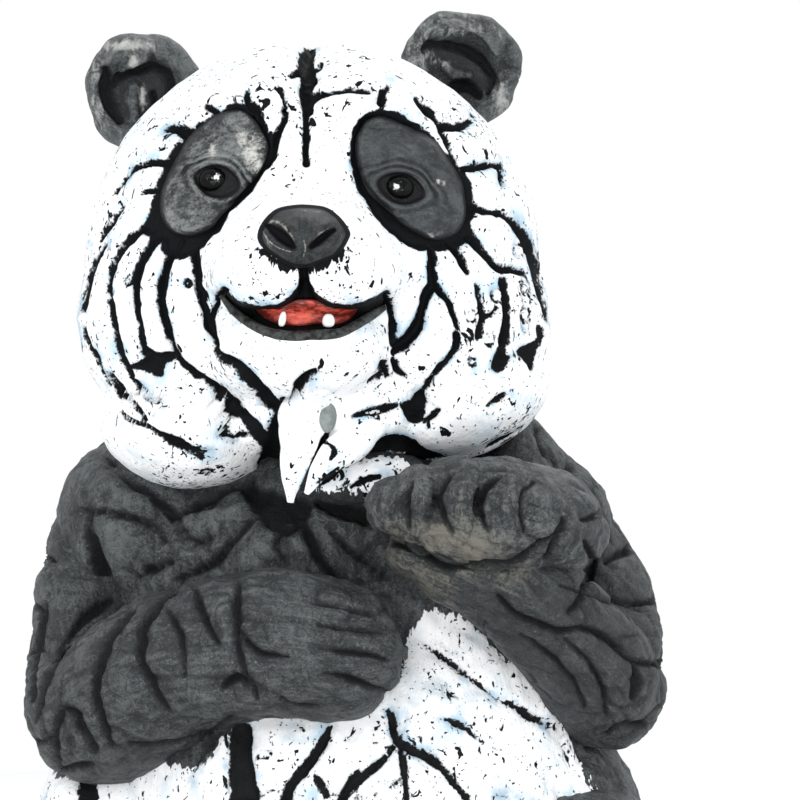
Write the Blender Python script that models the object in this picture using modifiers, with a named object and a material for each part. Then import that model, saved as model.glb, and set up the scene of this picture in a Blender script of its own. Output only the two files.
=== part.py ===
"""Seated panda figurine: one resin casting, figure and low base together.

Metres, +Z up, front towards -Y, origin at the middle of the flat underside.
The figure is drawn on a squared sheet of front-view columns and rows; one square is SQUARE metres.
Columns run to the right, rows run down, and depth runs away from the viewer, all in squares.
"""

import math

import bmesh
import bpy
import numpy as np

# Driving dimensions, in metres
FIGURE_HEIGHT = 0.367
BASE_THICKNESS = 0.012
BASE_MARGIN = 0.006
BASE_EDGE_RADIUS = 0.003

# The sheet: the figure stands this many squares high, from the base to the tip of the higher ear
FIGURE_SQUARES = 1022.0
SQUARE = FIGURE_HEIGHT / FIGURE_SQUARES
CRACK_DEPTH = 14.0
FOLD_DEPTH = 9.0
RIDGE_HEIGHT = 6.0
SKIN_GRAIN = 5.2
FIGURE_TRIANGLES = 8600
FIGURE_SINK = BASE_THICKNESS / 3
SHEET_MIDDLE = (400.0, 400.0)
MIDDLE_RIGHT = 60.0
MIDDLE_UP = 615.0
EYE_DISTANCE = 4170.0
DRAWN_DEPTH = -140.0
MIDDLE_DEPTH = -29.0
FOOTPRINT = (334.0, 291.0)
BASE_SQUARENESS = 0.6

# Head, as lobes: (column, row, depth), (half width, half depth, half height), tilt in degrees
HEAD_MIDDLE = (313.0, 285.0, -30.0)
HEAD_LOBES = {
    "skull": ((313, 262, -25), (232, 190, 224), 0),
    "cheek_left": ((182, 326, -70), (104, 120, 100), 8),
    "cheek_right": ((445, 335, -70), (106, 120, 112), -8),
    "jowl_left": ((186, 426, -75), (84, 112, 62), 6),
    "jowl_right": ((454, 404, -75), (88, 105, 50), -16),
    "muzzle": ((304, 262, -185), (92, 108, 70), 0),
    "lip_left": ((268, 280, -205), (52, 82, 36), 0),
    "lip_right": ((345, 280, -205), (54, 82, 36), 0),
    "chin": ((303, 352, -168), (92, 110, 54), 0),
    "throat": ((330, 415, -120), (100, 95, 50), 0),
    "brow_left": ((252, 122, -92), (58, 88, 46), -18),
    "brow_right": ((366, 120, -92), (60, 88, 46), 18),
}

# Trunk, as lobes round its own middle
TRUNK_MIDDLE = (345.0, 720.0, 20.0)
TRUNK_LOBES = {
    "chest": ((335, 570, 25), (232, 172, 150), 0),
    "shoulder_left": ((150, 525, 40), (98, 125, 92), 30),
    "shoulder_right": ((526, 534, 45), (92, 125, 86), -30),
    "nape_right": ((520, 462, 10), (36, 80, 52), -10),
    "belly": ((348, 790, 5), (262, 208, 205), 0),
    "belly_upper": ((440, 690, -45), (130, 100, 95), 0),
    "flank_left": ((128, 820, 20), (92, 150, 95), 10),
    "flank_right": ((560, 815, 30), (84, 150, 95), -10),
    "rump": ((345, 920, 70), (292, 190, 150), 0),
}

# Limbs: (column, row, depth, radius) along the middle line
ARM_LEFT = (
    (128, 498, 45, 62), (96, 585, 25, 60), (88, 668, -25, 62), (100, 710, -80, 76),
    (152, 680, -135, 79), (205, 655, -172, 75), (270, 644, -200, 73), (332, 650, -214, 70),
    (370, 652, -220, 58), (394, 652, -222, 38), (406, 652, -222, 14),
)
ARM_RIGHT_UPPER = (
    (538, 514, 50, 64), (578, 572, 20, 60), (602, 632, -15, 62), (598, 690, -60, 60),
)
ARM_RIGHT_LOWER = (
    (606, 690, -55, 60), (590, 664, -105, 60), (548, 615, -155, 57), (498, 575, -190, 53),
    (450, 556, -208, 45), (415, 548, -210, 30),
)
FIST = ((474, 517, -228), (98, 58, 53), 4)
WRIST = ((546, 522, -165), (64, 80, 50), 25)

# What the sheet doesn't show: (right of the middle, depth, height above the base), in squares
LEG_LEFT = ((-165, 70, 100, 104), (-212, -80, 96, 94), (-196, -190, 80, 74), (-190, -248, 80, 62))
LEG_RIGHT = ((185, 70, 112, 108), (238, -60, 138, 92), (214, -180, 96, 76), (200, -246, 80, 62))
FOOT_LEFT = ((-190, -258, 86), (72, 60, 86), 6)
FOOT_RIGHT = ((200, -256, 86), (72, 60, 86), -6)
TAIL = ((6, 232, 70), (46, 30, 42), 0)

# Where each kind of carving fades in: rows of the sheet, then depths and heights in squares
DRAWN_ROWS = (812.0, 796.0)
FACE_ROWS = (520.0, 500.0)
SOLE_DEPTHS = (-190.0, -215.0)
SLAB_HEIGHTS = (6.0, 24.0)

# Ears: middle, radius, half thickness, turn about the vertical in degrees
EARS = {
    "left": ((143, 92, 38), 62, 25, -14),
    "right": ((461, 70, 38), 63, 25, 12),
}
EAR_HOLLOW = 0.95
NOSE = ((303, 236, -272), (46, 30, 31), 0)
TUFT = ((312, 395, -210, 22), (303, 425, -216, 24), (296, 458, -214, 18), (292, 486, -206, 9), (291, 499, -202, 4))
BIB = ((374, 472, -128), (54, 40, 24), -8)

# Eye patches: outline's middle, half width, half height, tilt; the eye's middle
PATCHES = {
    "left": ((212, 176), (46, 74), 32, (214, 180)),
    "right": ((412, 178), (50, 76), -32, (398, 189)),
}
PATCH_GROOVE = 9.0
EYE_RADIUS = 21.0

# Mouth, on the sheet: corners, the upper lip's dip and the lower lip's dip
MOUTH = {"left": (220, 294), "right": (390, 297), "upper_dip": 10.0, "lower_dip": 35.0, "recess": 24.0}
NOSTRIL = {"out": 24.0, "row": 242.0, "halves": (11.0, 6.0), "tilt": 32.0, "recess": 12.0}

# Cracks between the fur slabs, on the sheet: width, then the points that each runs through
CRACKS = (
    (15, (307, 50), (306, 68), (306, 88)),
    (8, (309, 98), (306, 125), (307, 160)),
    (5, (310, 100), (338, 88), (372, 91)),
    (7, (279, 88), (288, 108), (268, 158)),
    (7, (160, 130), (176, 127), (192, 132)),
    (6, (117, 189), (136, 169), (165, 160)),
    (6, (120, 206), (94, 256), (81, 308)),
    (7, (150, 218), (118, 250), (108, 300), (117, 345), (128, 373)),
    (9, (158, 238), (135, 268), (134, 300), (142, 348)),
    (9, (166, 245), (160, 295), (165, 330), (176, 352)),
    (8, (191, 254), (200, 300), (213, 345)),
    (16, (214, 350), (246, 382), (284, 420)),
    (12, (132, 368), (154, 362), (176, 356)),
    (16, (222, 394), (240, 416), (266, 436)),
    (24, (266, 432), (273, 465), (272, 505)),
    (6, (135, 383), (148, 393), (165, 406)),
    (6, (92, 354), (124, 390), (145, 424)),
    (9, (145, 427), (176, 443), (208, 453)),
    (7, (386, 106), (387, 98), (391, 92)),
    (7, (420, 102), (430, 108), (439, 118)),
    (6, (443, 120), (456, 146), (462, 165)),
    (7, (467, 170), (482, 167), (500, 164)),
    (8, (473, 206), (510, 216), (532, 258), (541, 290)),
    (7, (475, 240), (486, 256), (528, 270)),
    (7, (455, 245), (462, 258), (469, 271)),
    (8, (433, 250), (435, 282), (453, 315), (458, 332)),
    (10, (432, 285), (418, 315), (399, 348)),
    (6, (458, 330), (448, 362), (424, 388)),
    (14, (424, 388), (412, 405), (414, 422)),
    (6, (476, 285), (484, 312), (480, 336)),
    (12, (504, 280), (508, 320), (495, 365)),
    (9, (511, 353), (530, 350), (533, 366)),
    (7, (352, 416), (376, 412), (399, 403)),
    (7, (332, 430), (318, 460), (306, 488)),
    (9, (293, 403), (300, 384), (314, 375)),
    (16, (346, 466), (375, 450), (402, 440)),
    (7, (412, 644), (450, 662), (492, 696)),
    (6, (497, 698), (525, 712), (558, 724)),
    (8, (395, 702), (401, 725), (397, 748)),
    (10, (395, 745), (440, 768), (482, 800)),
    (9, (382, 763), (364, 778), (344, 800)),
    (10, (326, 730), (300, 762), (274, 800)),
    (24, (240, 742), (240, 770), (248, 800)),
    (16, (84, 782), (86, 800), (92, 830)),
)
FOLDS = (
    (5, (85, 507), (125, 506), (158, 532)),
    (16, (89, 522), (97, 560), (108, 594)),
    (18, (58, 556), (58, 575), (68, 594)),
    (12, (112, 592), (140, 576), (166, 564)),
    (6, (205, 568), (226, 545), (252, 520)),
    (9, (115, 615), (96, 655), (98, 695), (110, 745)),
    (11, (176, 590), (138, 635), (146, 680), (165, 705)),
    (6, (168, 612), (180, 650), (187, 686)),
    (6, (196, 588), (206, 615), (218, 646)),
    (7, (236, 585), (238, 640), (257, 697)),
    (7, (52, 742), (60, 706), (84, 732), (102, 756)),
    (9, (322, 530), (352, 578), (400, 618)),
    (5, (332, 612), (366, 617), (396, 630)),
    (6, (334, 645), (368, 648), (398, 656)),
    (6, (334, 675), (364, 684), (392, 692)),
    (8, (411, 478), (405, 498), (412, 522)),
    (10, (448, 476), (439, 498), (446, 524)),
    (10, (486, 478), (477, 500), (485, 528)),
    (8, (455, 566), (502, 600), (568, 632)),
    (6, (568, 632), (604, 630), (637, 656)),
    (6, (592, 545), (592, 580), (566, 616)),
    (9, (636, 668), (641, 688), (636, 706)),
)

RIDGES = (
    (13, (222, 300), (306, 356), (388, 302)),
    (9, (222, 288), (262, 300), (302, 288)),
    (9, (306, 289), (345, 301), (388, 291)),
    (22, (250, 545), (272, 532), (300, 552)),
    (26, (400, 560), (452, 566), (520, 556)),
)

# Toes: their creases run down from the top of each foot, this far from its middle line
TOE_CREASES = (-42.0, -15.0, 14.0, 40.0)
TOE_CREASE_WIDTH = 8.0

# Slabs on the sides, the back and the lower body, laid in staggered rings
SLAB_COLUMNS = 15
SLAB_HEIGHT = 104.0
SLAB_CRACK = 9.0
SLAB_SEED = 11


def smooth_step(low, high, value):
    """0 below low, 1 above high, and a smooth rise between."""
    share = np.clip((value - low) / (high - low), 0.0, 1.0)
    return share * share * (3.0 - 2.0 * share)


def placed(column, row, depth):
    """(right, depth, height) in squares of a point that the sheet shows at this column and row."""
    spread = 1.0 + (depth - DRAWN_DEPTH) / EYE_DISTANCE
    right = MIDDLE_RIGHT + (column - SHEET_MIDDLE[0]) * spread
    up = MIDDLE_UP + (SHEET_MIDDLE[1] - row) * spread
    return np.array((right, depth, up), float)


def on_sheet(points):
    """Column and row at which the sheet shows points given in squares."""
    spread = 1.0 + (points[:, 1] - DRAWN_DEPTH) / EYE_DISTANCE
    column = SHEET_MIDDLE[0] + (points[:, 0] - MIDDLE_RIGHT) / spread
    row = SHEET_MIDDLE[1] - (points[:, 2] - MIDDLE_UP) / spread
    return np.stack((column, row), axis=1)


def to_metres(points):
    """Points in squares, moved into the part's own frame."""
    return (points - (0.0, MIDDLE_DEPTH, 0.0)) * SQUARE + (0.0, 0.0, BASE_THICKNESS)


def to_squares(points):
    return (points - (0.0, 0.0, BASE_THICKNESS)) / SQUARE + (0.0, MIDDLE_DEPTH, 0.0)


def tilted(vectors, degrees):
    """Vectors turned in the front view, towards the right for a positive angle."""
    c, s = math.cos(math.radians(degrees)), math.sin(math.radians(degrees))
    return np.stack(
        (vectors[:, 0] * c + vectors[:, 2] * s, vectors[:, 1], vectors[:, 2] * c - vectors[:, 0] * s), axis=1
    )


def lobe_reach(directions, start, middle, radii, tilt):
    """How far a ray from start runs before it leaves the lobe, or 0 where it misses."""
    turned = tilted(directions, -tilt) / radii
    offset = tilted((start - middle)[None, :], -tilt) / radii
    a = (turned**2).sum(axis=1)
    b = (turned * offset).sum(axis=1)
    c = (offset**2).sum() - 1.0
    root = b * b - a * c
    reach = (-b + np.sqrt(np.maximum(root, 0.0))) / a
    return np.where((root > 0.0) & (reach > 0.0), reach, 0.0)


def lobed_form(directions, middle, lobes, softness=14.0):
    """A star-shaped body: in each direction, the soft maximum of the lobes' reaches."""
    start = placed(*middle)
    total = np.zeros(len(directions))
    for where, radii, tilt in lobes.values():
        reach = lobe_reach(directions, start, placed(*where), np.array(radii, float), tilt)
        total += np.exp(reach / softness)
    return start + directions * (softness * np.log(total))[:, None]


def ball_form(directions, middle, radii, tilt):
    return middle + tilted(directions * np.array(radii, float), tilt)


def ear_form(directions, middle, radius, thickness, turn):
    """A flattened ball whose front is pressed into a cup with a lobe low in the middle."""
    right, depth, up = directions.T
    out = np.sqrt(right**2 + up**2)
    front = smooth_step(0.05, -0.35, depth)
    cup = EAR_HOLLOW * thickness * 1.5 * np.exp(-((out / 0.62) ** 4)) * front
    lobe = 0.75 * thickness * np.exp(-((right / 0.26) ** 2) - ((up + 0.22) / 0.34) ** 2) * front
    shaped = np.stack((right * radius, depth * thickness + cup - lobe, up * radius), axis=1)
    c, s = math.cos(math.radians(turn)), math.sin(math.radians(turn))
    turned = np.stack(
        (shaped[:, 0] * c - shaped[:, 1] * s, shaped[:, 0] * s + shaped[:, 1] * c, shaped[:, 2]), axis=1
    )
    return placed(*middle) + turned


def through(points, count):
    """A smooth curve through the points, as count samples of it."""
    p = np.array(points, float)
    p = np.concatenate((2 * p[:1] - p[1:2], p, 2 * p[-1:] - p[-2:-1]))
    spans = len(p) - 3
    t = np.linspace(0.0, spans, count)
    i = np.minimum(t.astype(int), spans - 1)
    t = (t - i)[:, None]
    a, b, c, d = p[i], p[i + 1], p[i + 2], p[i + 3]
    return 0.5 * (2 * b + (c - a) * t + (2 * a - 5 * b + 4 * c - d) * t**2 + (3 * b - a - 3 * c + d) * t**3)


def new_object(name, mesh, collection):
    obj = bpy.data.objects.new(name, mesh)
    collection.objects.link(obj)
    return obj


def ball_object(name, shape, collection, finer=5):
    """A round primitive whose points are moved onto the shape, which takes unit directions."""
    bm = bmesh.new()
    bmesh.ops.create_icosphere(bm, subdivisions=finer, radius=1.0)
    directions = np.array([v.co for v in bm.verts])
    directions /= np.linalg.norm(directions, axis=1)[:, None]
    for vertex, place in zip(bm.verts, to_metres(shape(directions))):
        vertex.co = place
    mesh = bpy.data.meshes.new(name)
    bm.to_mesh(mesh)
    bm.free()
    return new_object(name, mesh, collection)


def limb_object(name, line, collection):
    """A limb: a bevelled curve along a smooth line of (right, depth, height, radius), capped at both ends."""
    samples = through(line, 6 * len(line))
    curve = bpy.data.curves.new(name, "CURVE")
    curve.dimensions = "3D"
    curve.bevel_depth = SQUARE
    curve.bevel_resolution = 8
    curve.use_fill_caps = True
    spline = curve.splines.new("POLY")
    spline.points.add(len(samples) - 1)
    for point, sample, place in zip(spline.points, samples, to_metres(samples[:, :3])):
        point.co = (*place, 1.0)
        point.radius = max(float(sample[3]), 2.0)
    guide = new_object(name + "_line", curve, collection)
    bpy.context.view_layer.update()
    graph = bpy.context.evaluated_depsgraph_get()
    mesh = bpy.data.meshes.new_from_object(guide.evaluated_get(graph))
    bpy.data.objects.remove(guide)
    bm = bmesh.new()
    bm.from_mesh(mesh)
    bmesh.ops.remove_doubles(bm, verts=bm.verts, dist=1e-5)
    bm.to_mesh(mesh)
    bm.free()
    new_object(name, mesh, collection)
    for end in (0, -1):
        middle, radius = samples[end, :3], max(float(samples[end, 3]), 2.0)
        ball_object(f"{name}_end{end}", lambda d, m=middle, r=radius: m + d * r, collection, 3)


def sheet_line(line):
    return [(*placed(column, row, depth), radius) for column, row, depth, radius in line]


def rough_forms(collection):
    """Every mass of the figure as its own closed form, before they are joined."""
    ball_object("head", lambda d: lobed_form(d, HEAD_MIDDLE, HEAD_LOBES), collection, 6)
    ball_object("trunk", lambda d: lobed_form(d, TRUNK_MIDDLE, TRUNK_LOBES), collection, 6)
    for side, (middle, radius, thickness, turn) in EARS.items():
        ball_object(f"ear_{side}", lambda d, a=(middle, radius, thickness, turn): ear_form(d, *a), collection)
    for name, (middle, radii, tilt) in {"fist": FIST, "wrist": WRIST, "nose": NOSE, "bib": BIB}.items():
        ball_object(name, lambda d, a=(placed(*middle), radii, tilt): ball_form(d, *a), collection)
    for name, (middle, radii, tilt) in {"foot_left": FOOT_LEFT, "foot_right": FOOT_RIGHT, "tail": TAIL}.items():
        ball_object(name, lambda d, a=(np.array(middle, float), radii, tilt): ball_form(d, *a), collection)
    limb_object("arm_left", sheet_line(ARM_LEFT), collection)
    limb_object("arm_right_upper", sheet_line(ARM_RIGHT_UPPER), collection)
    limb_object("arm_right_lower", sheet_line(ARM_RIGHT_LOWER), collection)
    limb_object("tuft", sheet_line(TUFT), collection)
    limb_object("leg_left", LEG_LEFT, collection)
    limb_object("leg_right", LEG_RIGHT, collection)


def evaluated_mesh(obj):
    bpy.context.view_layer.update()
    return bpy.data.meshes.new_from_object(obj.evaluated_get(bpy.context.evaluated_depsgraph_get()))


def joined_skin(collection, name):
    """One even skin over all the rough forms, softened where they meet. The forms are removed."""
    bm = bmesh.new()
    for obj in list(collection.objects):
        bm.from_mesh(obj.data)
        bpy.data.objects.remove(obj)
    mesh = bpy.data.meshes.new(name)
    bm.to_mesh(mesh)
    bm.free()
    obj = new_object(name, mesh, collection)
    remesh = obj.modifiers.new("one_skin", "REMESH")
    remesh.mode = "VOXEL"
    remesh.voxel_size = SKIN_GRAIN * SQUARE
    smooth = obj.modifiers.new("soften", "SMOOTH")
    smooth.iterations = 4
    skin = evaluated_mesh(obj)
    bpy.data.objects.remove(obj)
    return skin


def crack_carving(sheet, cracks):
    """0 away from the cracks, rising to 1 on the floor of each. A narrow crack is a shallow one."""
    deepest = np.zeros(len(sheet))
    for width, *points in cracks:
        line = through(points, 6 * len(points))
        share = np.linspace(0.0, 1.0, len(line))
        half = 0.5 * width * (0.45 + 0.55 * np.sqrt(np.sin(math.pi * share)))
        reach = width + 4.0
        near = ((sheet > line.min(axis=0) - reach) & (sheet < line.max(axis=0) + reach)).all(axis=1)
        gap = np.full(near.sum(), 1e6)
        for a, b, low, high in zip(line[:-1], line[1:], half[:-1], half[1:]):
            along = np.clip(((sheet[near] - a) @ (b - a)) / ((b - a) @ (b - a)), 0.0, 1.0)
            foot = a + along[:, None] * (b - a)
            away = np.linalg.norm(sheet[near] - foot, axis=1)
            gap = np.minimum(gap, away - (low + (high - low) * along))
        size = min(1.0, 0.35 + width / 16.0)
        deepest[near] = np.maximum(deepest[near], size * smooth_step(2.5, -0.3 * width, gap))
    return deepest


def slab_carving(points):
    """The cracks round staggered slabs that ring the figure: 1 in the crack and 0 on the slab."""
    angle = np.arctan2(points[:, 0], points[:, 1] - 20.0) / (2 * math.pi) * SLAB_COLUMNS
    angle = angle + 0.5 * np.sin(points[:, 2] / 90.0)
    height = points[:, 2] / SLAB_HEIGHT
    ring = np.floor(height)
    slab_width = 1200.0 / SLAB_COLUMNS
    first = np.full(len(points), 1e6)
    second = first.copy()
    for ring_step in (-1, 0, 1):
        row = ring + ring_step
        shift = 0.5 * (row % 2)
        column = np.floor(angle - shift)
        for column_step in (-1, 0, 1, 2):
            slot = column + column_step
            wobble = slot % SLAB_COLUMNS * 12.9898 + row * 78.233 + SLAB_SEED
            jitter = np.sin(wobble) * 43758.5453 % 1.0 - 0.5
            lift = np.sin(wobble * 1.7) * 24634.6345 % 1.0 - 0.5
            side = (angle - slot - shift - 0.5 * jitter) * slab_width
            rise = (height - row - 0.5 - 0.45 * lift) * SLAB_HEIGHT * 0.62
            away = np.hypot(side, rise)
            second = np.minimum(second, np.maximum(first, away))
            first = np.minimum(first, away)
    return smooth_step(SLAB_CRACK, 0.2 * SLAB_CRACK, second - first)


def toe_carving(sheet):
    """1 in the creases between the toes of both feet and 0 elsewhere."""
    creases = []
    for (right, depth, up), (_, _, half_height), _ in (FOOT_LEFT, FOOT_RIGHT):
        column, row = on_sheet(np.array([(right, depth, up)], float))[0]
        for out in TOE_CREASES:
            top = (column + 0.8 * out, row - 0.95 * half_height)
            middle = (column + out, row - 0.62 * half_height)
            bottom = (column + 0.92 * out, row - 0.30 * half_height)
            creases.append((TOE_CREASE_WIDTH, top, middle, bottom))
    return crack_carving(sheet, creases)


def ring_gap(sheet, middle, halves, tilt):
    """How far each point of the sheet lies outside a tilted oval, in squares."""
    c, s = math.cos(math.radians(tilt)), math.sin(math.radians(tilt))
    off = sheet - middle
    across = (off[:, 0] * c + off[:, 1] * s) / halves[0]
    along = (off[:, 1] * c - off[:, 0] * s) / halves[1]
    return (np.hypot(across, along) - 1.0) * min(halves)


def mouth_carving(sheet):
    """1 inside the open mouth and 0 outside it."""
    (x0, y0), (x1, y1) = MOUTH["left"], MOUTH["right"]
    share = np.clip((sheet[:, 0] - x0) / (x1 - x0), 0.0, 1.0)
    arch = 4.0 * share * (1.0 - share)
    corner_line = y0 + (y1 - y0) * share
    upper = corner_line + MOUTH["upper_dip"] * arch
    lower = corner_line + MOUTH["lower_dip"] * arch
    inside = np.minimum(sheet[:, 1] - upper, lower - sheet[:, 1])
    return smooth_step(-2.0, 5.0, inside) * (arch > 0.02)


def eye_carving(sheet, middle, halves, tilt, eye):
    """Squares to cut for an eye patch's groove and hollow, less those that its lids and ball stand out."""
    gap = ring_gap(sheet, middle, halves, tilt)
    groove = 0.85 * smooth_step(PATCH_GROOVE, 0.35 * PATCH_GROOVE, np.abs(gap))
    hollow = 0.35 * smooth_step(0.0, -PATCH_GROOVE, gap)
    away = np.linalg.norm(sheet - eye, axis=1)
    lids = 2.4 * np.cos((away - EYE_RADIUS) / 7.0) * smooth_step(3.2 * EYE_RADIUS, EYE_RADIUS, away)
    ball = 9.0 * np.sqrt(np.clip(1.0 - (away / EYE_RADIUS) ** 2, 0.0, 1.0))
    return CRACK_DEPTH * np.maximum(groove, hollow), lids + ball


def near_ears(squares):
    """1 on the ears and 0 elsewhere."""
    zone = np.zeros(len(squares))
    for middle, radius, _, _ in EARS.values():
        away = np.linalg.norm(squares - placed(*middle), axis=1)
        zone = np.maximum(zone, smooth_step(1.25 * radius, radius, away))
    return zone


def carve(mesh):
    """Cuts the cracks, folds, eye patches, nostrils and mouth, raises the ridges, and cuts the bottom flat."""
    points = np.empty(len(mesh.vertices) * 3)
    normals = np.empty(len(mesh.vertices) * 3)
    mesh.vertices.foreach_get("co", points)
    mesh.vertex_normals.foreach_get("vector", normals)
    squares, normals = to_squares(points.reshape(-1, 3)), normals.reshape(-1, 3)
    sheet = on_sheet(squares)
    drawn = smooth_step(*DRAWN_ROWS, sheet[:, 1])
    forward = smooth_step(0.05, 0.3, -normals[:, 1])
    front = forward * drawn
    face = front * smooth_step(*FACE_ROWS, sheet[:, 1])
    feet = forward * smooth_step(*SOLE_DEPTHS, squares[:, 1]) * (1.0 - drawn)

    cut = front * np.maximum(CRACK_DEPTH * crack_carving(sheet, CRACKS), FOLD_DEPTH * crack_carving(sheet, FOLDS))
    plain = np.maximum.reduce((front, feet, near_ears(squares), smooth_step(0.7, 0.92, normals[:, 2])))
    slabs = (1.0 - plain) * slab_carving(squares) * smooth_step(*SLAB_HEIGHTS, squares[:, 2])
    cut = np.maximum(cut, 0.65 * CRACK_DEPTH * slabs)
    cut = np.maximum(cut, CRACK_DEPTH * feet * toe_carving(sheet))
    raised = RIDGE_HEIGHT * front * crack_carving(sheet, RIDGES)
    for middle, halves, tilt, eye in PATCHES.values():
        patch, stands_out = eye_carving(sheet, middle, halves, tilt, eye)
        cut = np.maximum(cut, face * patch)
        raised += face * stands_out
    squares -= normals * (cut - raised)[:, None]

    in_front = squares[:, 1] < placed(*NOSE[0])[1]
    for side in (-1, 1):
        middle = (NOSE[0][0] + side * NOSTRIL["out"], NOSTRIL["row"])
        gap = ring_gap(sheet, middle, NOSTRIL["halves"], side * NOSTRIL["tilt"])
        squares[:, 1] += NOSTRIL["recess"] * smooth_step(3.0, -4.0, gap) * in_front
    squares[:, 1] += MOUTH["recess"] * mouth_carving(sheet) * face
    squares[:, 2] = np.maximum(squares[:, 2], -FIGURE_SINK / SQUARE)
    mesh.vertices.foreach_set("co", to_metres(squares).ravel())
    mesh.update()


def base_outline(name, collection):
    """The base's plan: a rounded square with its corners drawn in, as a filled curve with half its thickness."""
    half = np.array(FOOTPRINT) * SQUARE + BASE_MARGIN
    curve = bpy.data.curves.new(name, "CURVE")
    curve.dimensions = "2D"
    curve.fill_mode = "BOTH"
    curve.extrude = BASE_THICKNESS / 2
    corners = 64
    spline = curve.splines.new("POLY")
    spline.points.add(int(corners) - 1)
    for i, point in enumerate(spline.points):
        a = 2 * math.pi * i / corners
        c, s = math.cos(a), math.sin(a)
        x = math.copysign(abs(c) ** BASE_SQUARENESS, c) * half[0]
        y = math.copysign(abs(s) ** BASE_SQUARENESS, s) * half[1]
        point.co = (x, y, 0.0, 1.0)
    spline.use_cyclic_u = True
    outline = new_object(name, curve, collection)
    outline.location.z = BASE_THICKNESS / 2
    return outline


def base_object(name, collection):
    """The low base plate, with its edges softened."""
    outline = base_outline(name + "_outline", collection)
    mesh = evaluated_mesh(outline)
    mesh.transform(outline.matrix_world)
    bpy.data.objects.remove(outline)
    bm = bmesh.new()
    bm.from_mesh(mesh)
    bmesh.ops.remove_doubles(bm, verts=bm.verts, dist=1e-5)
    bmesh.ops.recalc_face_normals(bm, faces=bm.faces)
    bm.to_mesh(mesh)
    bm.free()
    obj = new_object(name, mesh, collection)
    bevel = obj.modifiers.new("soft_edge", "BEVEL")
    bevel.width = min(BASE_EDGE_RADIUS, 0.4 * BASE_THICKNESS)
    bevel.segments = 2
    bevel.limit_method = "ANGLE"
    bevel.angle_limit = math.radians(40)
    obj.hide_render = True
    obj.display_type = "WIRE"
    return obj


def resin_material():
    material = bpy.data.materials.new("painted_resin")
    material.use_nodes = True
    shader = material.node_tree.nodes["Principled BSDF"]
    shader.inputs["Base Color"].default_value = (0.82, 0.83, 0.84, 1.0)
    shader.inputs["Roughness"].default_value = 0.55
    shader.inputs["Metallic"].default_value = 0.0
    return material


def main():
    for obj in list(bpy.data.objects):
        bpy.data.objects.remove(obj)
    figurine = bpy.data.collections.new("panda_figurine")
    helpers = bpy.data.collections.new("helpers")
    for collection in (figurine, helpers):
        bpy.context.scene.collection.children.link(collection)

    rough_forms(helpers)
    skin = joined_skin(helpers, "skin")
    carve(skin)
    skin.name = "panda_figurine"
    skin.shade_smooth()
    skin.materials.append(resin_material())
    panda = new_object("panda_figurine", skin, figurine)
    thin_out = panda.modifiers.new("thin_out", "DECIMATE")
    thin_out.ratio = min(1.0, FIGURE_TRIANGLES / (2.0 * len(skin.polygons)))
    thin_out.use_collapse_triangulate = True
    foot_plate = base_object("base_plate", helpers)
    join = panda.modifiers.new("on_its_base", "BOOLEAN")
    join.operation = "UNION"
    join.object = foot_plate


main()
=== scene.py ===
import math

import bpy
import numpy as np
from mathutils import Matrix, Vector


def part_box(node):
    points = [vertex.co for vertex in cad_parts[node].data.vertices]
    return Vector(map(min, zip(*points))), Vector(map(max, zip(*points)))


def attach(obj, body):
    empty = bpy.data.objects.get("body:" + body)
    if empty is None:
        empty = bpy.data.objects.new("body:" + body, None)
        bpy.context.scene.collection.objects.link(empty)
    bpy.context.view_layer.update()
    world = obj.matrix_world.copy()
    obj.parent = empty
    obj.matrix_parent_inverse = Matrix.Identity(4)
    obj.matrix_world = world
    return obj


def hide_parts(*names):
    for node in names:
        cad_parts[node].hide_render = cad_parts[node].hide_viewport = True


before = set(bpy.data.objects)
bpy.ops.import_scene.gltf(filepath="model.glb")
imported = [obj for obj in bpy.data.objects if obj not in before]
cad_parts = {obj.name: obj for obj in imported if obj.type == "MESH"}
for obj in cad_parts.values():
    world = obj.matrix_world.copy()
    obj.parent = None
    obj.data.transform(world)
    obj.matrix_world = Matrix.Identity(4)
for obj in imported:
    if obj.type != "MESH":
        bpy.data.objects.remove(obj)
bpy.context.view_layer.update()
node = "panda_figurine"

# The figure is drawn on a squared front-view sheet: columns to the right, rows down, depth away from
# the viewer. The base is 334 squares and a margin wide on each side, which gives a square's real size.
sheet = {
    "margin": 0.006,
    "baseHalf": (334.0, 291.0),
    "baseTop": 0.012,
    "middle": 400.0,
    "right": 60.0,
    "up": 615.0,
    "eye": 4170.0,
    "drawn": -140.0,
    "back": -29.0,
    "lastRow": 800.0,
    "sunk": -4.0,
}
square = (float(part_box(node)[1][0]) - sheet["margin"]) / sheet["baseHalf"][0]
farOff = 40.0  # squares, added to the way to a crack where none is wanted
allBlack, allWhite = 30.0, -30.0  # squares to the black's border, far outside and far inside the white


def smoothStep(low, high, value):
    share = np.clip((value - low) / (high - low), 0.0, 1.0)
    return share * share * (3.0 - 2.0 * share)


# exp(-(away / width)^2): 1 in the middle, 1 / e at the width
def bell(away, width):
    return np.exp(-((away / width) ** 2))


def cosSin(degrees):
    return math.cos(math.radians(degrees)), math.sin(math.radians(degrees))


# the angles of a grid's columns, once round
def turnsRound(around):
    return np.linspace(0.0, 2 * math.pi, around, endpoint=False)


# distance of each place from a spot, with the rows counted squash times
def spotAway(where, column, row, squash=1.0):
    return np.hypot(where[..., 0] - column, (where[..., 1] - row) * squash)


# right = R + (column - M) * spread, up = U + (M - row) * spread, spread = 1 + (depth - drawn) / eye
def fromSheet(column, row, depth):
    column, row, depth = np.broadcast_arrays(*(np.asarray(v, float) for v in (column, row, depth)))
    spread = 1.0 + (depth - sheet["drawn"]) / sheet["eye"]
    right = sheet["right"] + (column - sheet["middle"]) * spread
    return np.stack((right, depth, sheet["up"] + (sheet["middle"] - row) * spread), axis=-1)


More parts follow.
